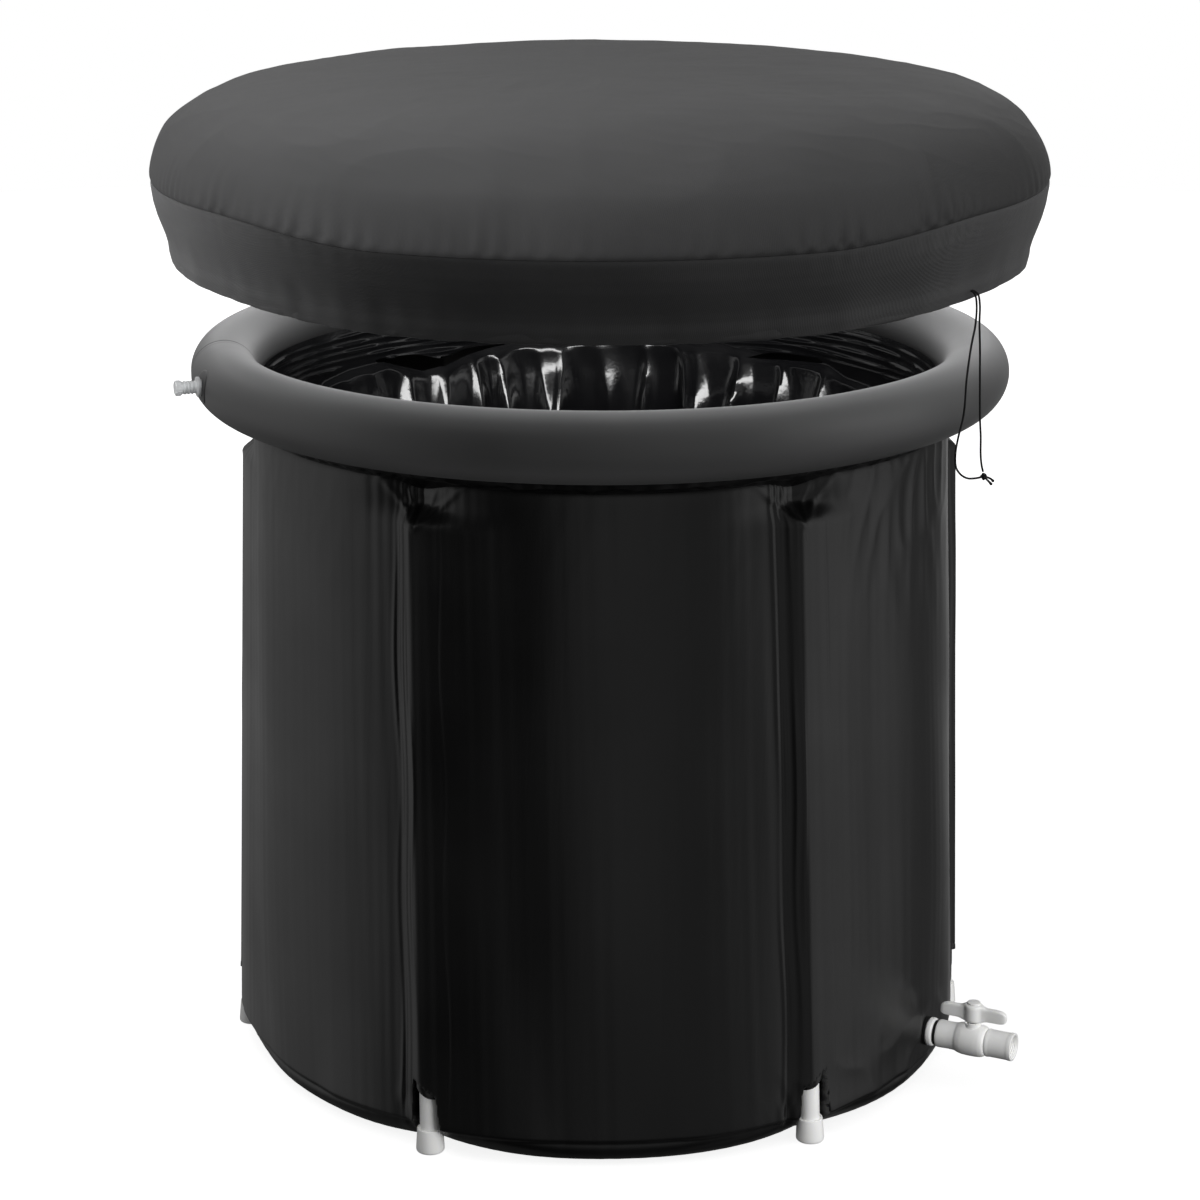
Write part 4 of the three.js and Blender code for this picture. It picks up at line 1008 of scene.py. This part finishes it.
def film_folds(theta, height):
    """How far the film stands in from its smooth line: a shelf under the hanging line, below it upright
    folds, each of its own angle, width, lean and depth and steeper on one side, and above it bands along the
    rim."""
    below = hanging_line(theta) - height
    pick = np.random.default_rng(7)
    folds = np.zeros(np.broadcast_shapes(theta.shape, height.shape))
    for place in np.linspace(-np.pi, np.pi, 52, endpoint=False):
        centre = place + pick.uniform(-0.05, 0.05) + pick.uniform(-0.3, 0.3) * (height - 600) / 600
        width = pick.uniform(0.022, 0.06)
        depth = pick.uniform(5, 15)
        away = (theta - centre + np.pi) % (2 * np.pi) - np.pi
        steep = np.where(away > 0, pick.uniform(0.3, 0.8), 1.0)
        folds += depth * np.exp(-np.abs(away / (width * steep)) ** 1.4)
    uneven = 0.5 + 0.5 * np.tanh(waves(theta, height, 54, 6, (8, 40), (200, 500)))
    shelf = (4 + 5 * uneven) * ramp(below, 0, 8)
    hung = (folds + 9) * ramp(below, -4, 90) * ramp(height, 120, 420)
    hung += 0.25 * folds * ramp(below, 0, 14)
    bands = np.zeros_like(folds)
    for number, level in enumerate(RIM_BANDS):
        line = level + 1.3 * waves(theta, 0 * height, 60 + number, 5, (2, 14), (300, 900))
        strong = 0.5 + 0.5 * np.tanh(2 * waves(theta, 0 * height, 80 + number, 6, (5, 30), (300, 900)))
        bands += (0.6 + 1.6 * strong) * ridge(height - line, 1.9)
    return shelf + hung + bands * ramp(below, -2, -8) * ramp(height, 709, 703)


liner_angles = once_around(LINER_COLUMNS, -np.pi)[None]
floor_share = np.linspace(0, 1, 12)[:, None]
floor_edge = wall_point(liner_angles, np.full_like(liner_angles, 8.4), -24.0)[..., :2]
floor_wave = 0.6 * np.tanh(waves(liner_angles, 340 * floor_share, 53, 12, (1, 14), (60, 200))) * floor_share
film_floor = lift(floor_edge * floor_share[..., None], FILM_FLOOR + floor_wave)
side_levels = [np.linspace(14, 540, 20), np.linspace(546, 630, 26), np.linspace(632, LINER_TOP, 60)]
side_height = np.concatenate(side_levels)[:, None] + 0 * liner_angles
clear_of_wall = -9.4 - 14 * ramp(side_height, 32, 10)
smooth_side = wall_point(liner_angles, side_height, clear_of_wall)
rim_circle = lift(LINER_RIM * toward(liner_angles) + 0 * side_height[..., None], side_height)
to_rim = ramp(side_height, 635, 700)[..., None]
smooth_side = smooth_side * (1 - to_rim) + rim_circle * to_rim
film_in = lift(toward(liner_angles) * film_folds(liner_angles, side_height)[..., None], 0.0)
film = np.concatenate([film_floor, smooth_side - film_in])
outer_way = np.concatenate([film_floor - [0, 0, FILM_THICK], smooth_side])[::-6]
push = outer_way[..., :2] / np.maximum(np.linalg.norm(outer_way[..., :2], axis=-1, keepdims=True), 1)
back = np.concatenate([outer_way[..., :2] + FILM_THICK * push, outer_way[..., 2:]], axis=-1)
back[-1, :, :2] = 0
liner = skin("inner_liner_film", np.concatenate([film, back]), sharp=60)
dress(liner, liner_finish, "tub", "liner", "inner_liner")

# %% [markdown]
# ## The cover
# A round lid of matt woven cloth, nearly flat on top, with a rounded shoulder. A seam joins the top to a side
# band, where the cloth puckers, and the hem at the bottom is drawn in by the cord. At the side that the
# photograph shows, the seam and the hem sag by a finger's width. The top is a dome whose outline is a rounded
# square; puckers and low wrinkles are added to its height, as on the wall.

# %% The cover's finish
cover_finish = grained(
    "matt_woven_cloth",
    tones=((0.046, 0.046, 0.047), (0.056, 0.056, 0.057)),
    gloss=(0.50, 0.60),
    patch=0.1,
    grain=0.0016,
    depth=0.00012,
    strength=0.4,
    sockets={"Sheen Weight": 0.03, "Sheen Roughness": 0.5, "Specular IOR Level": 0.6},
)
cover_map = coordinates(cover_finish, "Object")
weave(cover_finish, cover_map, (0.82, 0.57, 0.7), (-0.57, 0.82, 0.7), 0.0017, 0.35, 0.0002)
print("finish:", cover_finish.name)

# %% Cover top
COVER_SEAM_HEIGHT = 914.0
COVER_SEAM_RADIUS = 448.0
COVER_CROWN = 100.0
COVER_SHOULDER = 6.5
COVER_COLUMNS = 800
SEAM_DEPTH = 1.6
SEAM_WIDTH = 2.2
COVER_THICK = 3.0
COVER_INSET = 3.5
PHOTO_FRONT = CAMERA_TURN - np.pi / 2


def from_front(theta):
    """Angle from the side that the photograph shows, to the right positive."""
    return (theta - PHOTO_FRONT + np.pi) % (2 * np.pi) - np.pi


def droop(theta, most, outer, inner):
    """How far an edge sags at the side that the photograph shows: most in the middle, up to the inner angle,
    and nothing from the outer angle on."""
    return most * ramp(np.abs(from_front(theta)), np.radians(outer), np.radians(inner))


def seam_droop(theta):
    """How far the cover's seam sags."""
    return droop(theta, 14.0, 54, 26)


def hem_droop(theta):
    """How far the cover's hem sags."""
    return droop(theta, 10.5, 66, 24)


def puckers(theta, away, seed):
    """Gathers that start beside a seam and die out away from it: rounded waves around, uneven in strength,
    and strongest at the left and right of the front."""
    crest = np.tanh(2.2 * waves(theta, away, seed, 10, (90, 190), (300, 900)))
    patchy = 0.6 + 0.4 * np.tanh(1.5 * waves(theta, away, seed + 1, 6, (9, 30), (500, 900)))
    side = 0.2 + 0.8 * ridge(np.abs(from_front(theta)) - 0.66, 0.36)
    reach = 8 + 10 * patchy
    return crest * patchy * side * ramp(away, 0, 7) * np.exp(-((away / reach) ** 1.3))


rise = np.sin(np.linspace(0, np.pi / 2, 4000))
dome_radius = COVER_SEAM_RADIUS * np.clip(1 - rise**2, 0, 1) ** (1 / COVER_SHOULDER)
dome_height = COVER_SEAM_HEIGHT + COVER_CROWN * rise
dome_way = travelled(np.stack([dome_radius, dome_height], axis=-1), 0)


def on_dome(steps):
    """Radius and height of the dome, in columns, at distances travelled up from its seam."""
    return [np.interp(steps, dome_way, line)[:, None] for line in (dome_radius, dome_height)]


steps = np.concatenate([np.linspace(0, 120, 62), np.linspace(120, dome_way[-1], 48)[1:]])
top_radius, top_height = on_dome(steps)
slope = np.gradient(np.stack([top_radius[:, 0], top_height[:, 0]], axis=-1), steps, axis=0)
slope /= np.linalg.norm(slope, axis=-1, keepdims=True)
outward_r = slope[:, 1][:, None]
outward_z = -slope[:, 0][:, None]
cover_angles = once_around(COVER_COLUMNS, -np.pi)[None]
way = steps[:, None]
flat_share = ramp(top_radius, 20, 200)
wrinkle = waves(cover_angles, way, 61, 12, (2, 11), (130, 420)) * flat_share
creased = 0.7 - valleys(cover_angles, way, 62, 7, (3, 16), (150, 420))
fine_creases = 0.6 - valleys(cover_angles, way, 64, 9, (6, 30), (40, 130))
shoulder = ridge(way - 62, 40)
top_relief = 0.8 * wrinkle + 1.7 * creased * flat_share * (0.35 + shoulder)
top_relief += 0.5 * fine_creases * flat_share
top_relief = top_relief * ramp(way, 4, 60) + 3.2 * puckers(cover_angles, way, 63)
top_relief -= SEAM_DEPTH * np.exp(-way / SEAM_WIDTH)
top_flat = toward(cover_angles) * (top_radius + outward_r * top_relief)[..., None]
top_drop = seam_droop(cover_angles) * ramp(way, 44, 0)
top_outside = lift(top_flat, top_height + outward_z * top_relief - top_drop)
under_radius, under_height = on_dome(steps[::-9])
under_radius = np.clip(under_radius - COVER_INSET, 0, None)
under_height = np.clip(under_height - COVER_THICK, COVER_SEAM_HEIGHT, None) + 0 * cover_angles
top_inside = lift(toward(cover_angles) * under_radius[..., None], under_height)
cover_top = skin("cover_top_cloth", np.concatenate([top_outside, top_inside]), along=True, sharp=50)
dress(cover_top, cover_finish, "cover", "cover", "cover_top")

# %% Cover lining
LINING_RADIUS = 434.0
LINING_HEIGHT = 948.0
QUILT_PITCH = 70.0
lining_finish = grained(
    "quilted_lining",
    tones=((0.03, 0.03, 0.031), (0.042, 0.042, 0.043)),
    gloss=(0.5, 0.62),
    patch=0.06,
    grain=0.002,
    depth=0.0002,
)
lining_share = np.linspace(0, 1, 40)[:, None]
lining_turn = once_around(240, -np.pi)[None]
lining_flat = LINING_RADIUS * lining_share[..., None] * toward(lining_turn)
quilt = np.abs(np.prod(np.sin(np.pi * lining_flat / QUILT_PITCH), axis=-1)) ** 0.5
lining_edge = ramp(lining_share, 1.0, 0.97)
lining_low = lift(lining_flat, LINING_HEIGHT - (0.2 + 2.7 * quilt) * lining_edge)
lining_high = lift(lining_flat[::-1], LINING_HEIGHT + 3 * lining_edge[::-1])
lining = skin("cover_lining_pad", np.concatenate([lining_low, lining_high]))
dress(lining, lining_finish, "cover", "foam", "cover_foam")

# %% Cover band and hem
HEM_GATHERS = (72, 10, (30, 90), (200, 500))
HEM_RADIUS = 425.3
HEM_HEIGHT = 841.0
SIDE_TOP = 913.7
SIDE_LOW = 833.2
SIDE_THICK = 3.6
SIDE_PROFILE = np.array(
    [
        [428.4, SIDE_LOW], [430.6, 843], [431.4, 852], [433.8, 861], [437.5, 871], [441.5, 882], [445, 895],
        [448, SIDE_TOP],
    ]
)


def cover_side(height, out):
    """The side band at a height, moved out: the radius of its profile, and the height lowered by the sag,
    which goes over from the seam's to the hem's."""
    radius = np.interp(height, SIDE_PROFILE[:, 1], SIDE_PROFILE[:, 0]) + out
    share = ramp(height, SIDE_TOP, SIDE_LOW - 0.2)
    drop = hem_droop(cover_angles) * share + seam_droop(cover_angles) * (1 - share)
    return lift(toward(cover_angles) * radius[..., None], height - drop)


side_way = np.linspace(SIDE_LOW, SIDE_TOP, 42)[:, None]
from_seam = SIDE_TOP - side_way
side_out = 0.3 * puckers(cover_angles, from_seam, 63) - SEAM_DEPTH * np.exp(-from_seam / SEAM_WIDTH)
side_out += 0.8 * waves(cover_angles, side_way, 71, 8, (5, 26), (120, 400)) * ramp(side_way, 913, 890)
side_out += 0.25 * waves(cover_angles, side_way, *HEM_GATHERS) * ramp(side_way, 885, 852)
band_outer = cover_side(side_way, side_out)
band_inner = cover_side(np.linspace(SIDE_TOP, 850.3, 6)[:, None], -SIDE_THICK)
cover_band = skin("cover_band_cloth", np.concatenate([band_outer, band_inner]), along=True, sharp=50)
dress(cover_band, cover_finish, "cover", "cover", "cover_band")

hem_turn = once_around(28)[:, None]
hem_out = 4.0 * squared(hem_turn, 0.6)
hem_up = 9.0 * squared(hem_turn - np.pi / 2, 0.6)
hem_gather = waves(cover_angles, 851 + 0 * hem_turn, *HEM_GATHERS)
hem_radius = HEM_RADIUS + hem_out - 0.3 * np.abs(hem_gather)
hem_height = HEM_HEIGHT + hem_up + 0.3 * hem_gather * ramp(hem_up, 9, -9) - hem_droop(cover_angles)
hem_grid = lift(toward(cover_angles) * hem_radius[..., None], hem_height)
hem = skin("cover_hem_channel", hem_grid, along=True, sharp=50)
dress(hem, cover_finish, "cover", "cover", "cover_hem")

# %% [markdown]
# The cord's hidden run lies inside the hem. It is a ring that is open at the eyelet, where the strands leave.

# %% The cord in the hem
RUN_RADIUS = 425.5
run_angles = np.linspace(CORD_ANGLE + 0.004, CORD_ANGLE - 0.004 + 2 * np.pi, 300)
run_line = lift(RUN_RADIUS * toward(run_angles), EYELET_HEIGHT - hem_droop(run_angles))
run = skin("drawstring_run_braid", tube(run_line, CORD_RADIUS, 8))
dress(run, cord_finish, "cover", "cord", "drawstring_run")

# %% [markdown]
# ## Floor and light
# The photograph shows the tub on plain white, lit by large soft panels: wide ones at the left and the right,
# a weak one in front with a dark gap left of it, and a bright one overhead. Lamps could stand for each panel,
# but on a satin black wall every lamp's edge would show. So the panels are painted on the world as two rings
# of brightness, one around the sides and one overhead. To the camera the world is plain white, and the floor
# is there for the camera alone, so that it neither lights the tub from below nor hides the lower panels.

# %% Floor
FLOOR_REACH = 6000.0
FLOOR_TOP = -0.6
FLOOR_LOW = -40.0
floor_edge_line = [[FLOOR_REACH / 2, FLOOR_TOP], [FLOOR_REACH, FLOOR_TOP], [FLOOR_REACH, FLOOR_LOW]]
floor_line = np.array([[0, FLOOR_TOP], *floor_edge_line, [0, FLOOR_LOW]])
floor = skin("pale_floor", turned(floor_line, 96))
floor_finish = grained(
    "pale_floor_paint",
    tones=((0.66, 0.66, 0.66), (0.7, 0.7, 0.7)),
    gloss=(0.8, 0.9),
    patch=0.8,
    grain=0.01,
    depth=0.0001,
)
floor_tree = floor_finish.node_tree
floor_away = build(
    floor_tree, "ShaderNodeVectorMath", {0: coordinates(floor_finish, "Object")}, operation="LENGTH"
)
# The floor glows less near the tub, from 0.86 at 0.4 m from the axis to full at 2.2 m: painted shade around
# the tub, on top of the real shadow that the key lamp casts there.
glow_with_painted_shade = build(
    floor_tree,
    "ShaderNodeMapRange",
    {"Value": floor_away.outputs["Value"], "From Min": 0.4, "From Max": 2.2, "To Min": 0.86, "To Max": 1.0},
)
floor_shader = floor_tree.nodes["Principled BSDF"]
floor_shader.inputs["Emission Color"].default_value = (1, 1, 1, 1)
floor_tree.links.new(glow_with_painted_shade.outputs["Result"], floor_shader.inputs["Emission Strength"])
floor.data.materials.append(floor_finish)
floor.visible_glossy = False
floor.visible_diffuse = False
floor.visible_transmission = False
floor.visible_shadow = False
print(f"{floor.name}: {len(floor.data.polygons)} faces, part of the stage")

# %% World
SIDE_PANELS = (
    (-180, 0.14), (-150, 0.34), (-130, 0.30), (-104, 0.50), (-85, 0.58), (-70, 0.46), (-56, 0.07),
    (-42, 0.015), (-26, 0.03), (-12, 0.19), (6, 0.34), (26, 0.25), (42, 0.17), (52, 0.18), (66, 0.62),
    (88, 0.76), (104, 0.40), (118, 0.13), (132, 0.09), (143, 0.16), (154, 0.36), (165, 0.6), (180, 0.2),
)
SIDE_POWER = 1.0
TOP_PANELS = ((-180, 0.25), (-120, 0.5), (-40, 0.95), (0, 1.0), (60, 0.9), (120, 0.4), (180, 0.25))
TOP_POWER = 0.8
world = bpy.data.worlds.new("studio")
bpy.context.scene.world = world
world.use_nodes = True
sky = world.node_tree
backdrop = sky.nodes["Background"]
ahead = build(sky, "ShaderNodeTexCoord").outputs["Generated"]
facing = build(sky, "ShaderNodeMapping", {"Vector": ahead, "Rotation": (0, 0, -PHOTO_FRONT)}).outputs[0]
compass = build(sky, "ShaderNodeTexGradient", {"Vector": facing}, gradient_type="RADIAL")


def panels(stops, power):
    """Brightness around the tub: stops of (degrees to the right of the camera, share of the power)."""
    shades = build(sky, "ShaderNodeValToRGB", {"Fac": compass.outputs["Fac"]})
    marks = shades.color_ramp.elements
    for _ in stops[2:]:
        marks.new(0.5)
    for mark, (side, share) in zip(marks, stops):
        mark.position = 0.5 + side / 360
        mark.color = (share, share, share, 1)
    scaled = build(sky, "ShaderNodeMath", {0: shades.outputs["Color"], 1: power}, operation="MULTIPLY")
    return scaled.outputs[0]


upward = build(sky, "ShaderNodeSeparateXYZ", {"Vector": ahead}).outputs["Z"]
overhead = build(sky, "ShaderNodeMapRange", {"Value": upward, "From Min": 0.72, "From Max": 0.92})
sides = panels(SIDE_PANELS, SIDE_POWER)
above = panels(TOP_PANELS, TOP_POWER)
studio = build(sky, "ShaderNodeMix", {"Factor": overhead.outputs["Result"], "A": sides, "B": above})
dim_below = {"Value": upward, "From Min": -0.62, "From Max": -0.30, "To Min": 0.15}
below = build(sky, "ShaderNodeMapRange", dim_below)
shaded_inputs = {0: studio.outputs["Result"], 1: below.outputs["Result"]}
shaded = build(sky, "ShaderNodeMath", shaded_inputs, operation="MULTIPLY").outputs[0]
seen = build(sky, "ShaderNodeLightPath").outputs["Is Camera Ray"]
level = build(sky, "ShaderNodeMix", {"Factor": seen, "A": shaded, "B": 1.0})
backdrop.inputs["Color"].default_value = (1, 1, 1, 1)
sky.links.new(level.outputs["Result"], backdrop.inputs["Strength"])
bpy.context.scene.view_settings.view_transform = "Standard"
print("world:", len(SIDE_PANELS), "stops around the sides and", len(TOP_PANELS), "overhead")

# %% [markdown]
# In the photograph the tub is lit as if the cover were not above it: the rim has a bright inner edge and the
# liner's folds catch light from above and from the front. So every lamp but the weak key panel lights only
# the pieces that it is meant for. In those of the tub the cover throws no shadow, and in those of the cover
# the tub throws none. One shared set of lamps would be simpler, but it leaves the rim and the liner dark.

# %% Lamps


def gathered(name, pieces):
    """A collection that names the pieces which a lamp lights, or those which throw shadows in it."""
    group = bpy.data.collections.new(name)
    for piece in pieces:
        group.objects.link(piece)
    return group


def soft_box(name, place, size, power, aim, shiny, lit=(), shading=()):
    """A rectangular lamp. Its place is (degrees to the right of the camera, metres from the axis, height),
    and it faces the point of the axis at the height aim. With lit, it lights only those pieces, and the only
    shadows in it are those of the shading pieces. One that isn't shiny makes no highlights."""
    side, distance, height = place
    lamp = bpy.data.lights.new(name, "AREA")
    lamp.shape = "RECTANGLE"
    lamp.size, lamp.size_y = size
    lamp.energy = power
    box = bpy.data.objects.new(name, lamp)
    flat = toward(PHOTO_FRONT + np.radians(side)) * distance
    box.location = (*flat, height)
    ahead = np.array([-flat[0], -flat[1], aim - height])
    ahead /= np.linalg.norm(ahead)
    box.rotation_euler = (np.arccos(-ahead[2]), 0, np.arctan2(ahead[1], ahead[0]) - np.pi / 2)
    box.visible_camera = False
    box.visible_glossy = shiny
    bpy.context.collection.objects.link(box)
    if lit:
        box.light_linking.receiver_collection = gathered(name + "_lights", lit)
        box.light_linking.blocker_collection = gathered(name + "_shadows", shading)


meshes = [piece for piece in bpy.data.objects if piece.type == "MESH"]
PALE_FINISHES = {plastic_finish.name, clear_finish.name}
pale = [piece for piece in meshes if PALE_FINISHES & set(piece.data.materials.keys())]
tub_shell = [ring, liner, wall, band]
lid = [cover_top, cover_band, hem]
lid_side = [cover_band, hem]
SHINY, PLAIN = True, False
LAMPS = (
    ("liner_panel", (6, 3.0, 1.9), (3.2, 1.1), 110, 0.6, SHINY, [liner], tub_shell),
    ("fold_panel", (0, 0.4, 2.6), (1.6, 1.6), 30, 0.6, SHINY, [liner], tub_shell),
    ("rim_panel", (180, 1.6, 2.6), (2.4, 1.6), 440, 0.75, PLAIN, [ring, patch], tub_shell),
    ("rim_right_panel", (75, 2.4, 1.6), (1.2, 1.2), 38, 0.7, PLAIN, [ring], tub_shell),
    ("rim_left_panel", (-80, 2.4, 1.6), (1.2, 1.2), 20, 0.7, PLAIN, [ring], tub_shell),
    ("glint_panel", (180, 2.5, 1.15), (2.2, 0.5), 5, 0.75, SHINY, [ring], [ring]),
    ("bounce_panel", (0, 0.62, 0.0), (1.0, 0.4), 2.0, 0.7, PLAIN, [ring], tub_shell),
    ("plastic_panel", (40, 2.5, 1.2), (1.6, 1.6), 42, 0.1, SHINY, pale, tub_shell),
    ("valve_panel", (-55, 1.6, 1.5), (0.6, 0.6), 7, 0.72, SHINY, [stem, plug], tub_shell),
    ("cover_panel", (-45, 2.2, 2.6), (1.5, 1.5), 62, 0.95, PLAIN, [cover_top], lid),
    ("left_panel", (-112, 2.5, 0.9), (1.2, 1.2), 110, 0.9, PLAIN, lid_side, lid),
    ("right_panel", (112, 2.5, 0.9), (1.2, 1.2), 40, 0.9, PLAIN, lid_side, lid),
    ("key_panel", (-150, 1.6, 2.4), (1.6, 1.6), 4.5, 1.0, SHINY),
)
for row in LAMPS:
    soft_box(*row)
print("lamps:", ", ".join(lamp.name for lamp in bpy.data.lights))
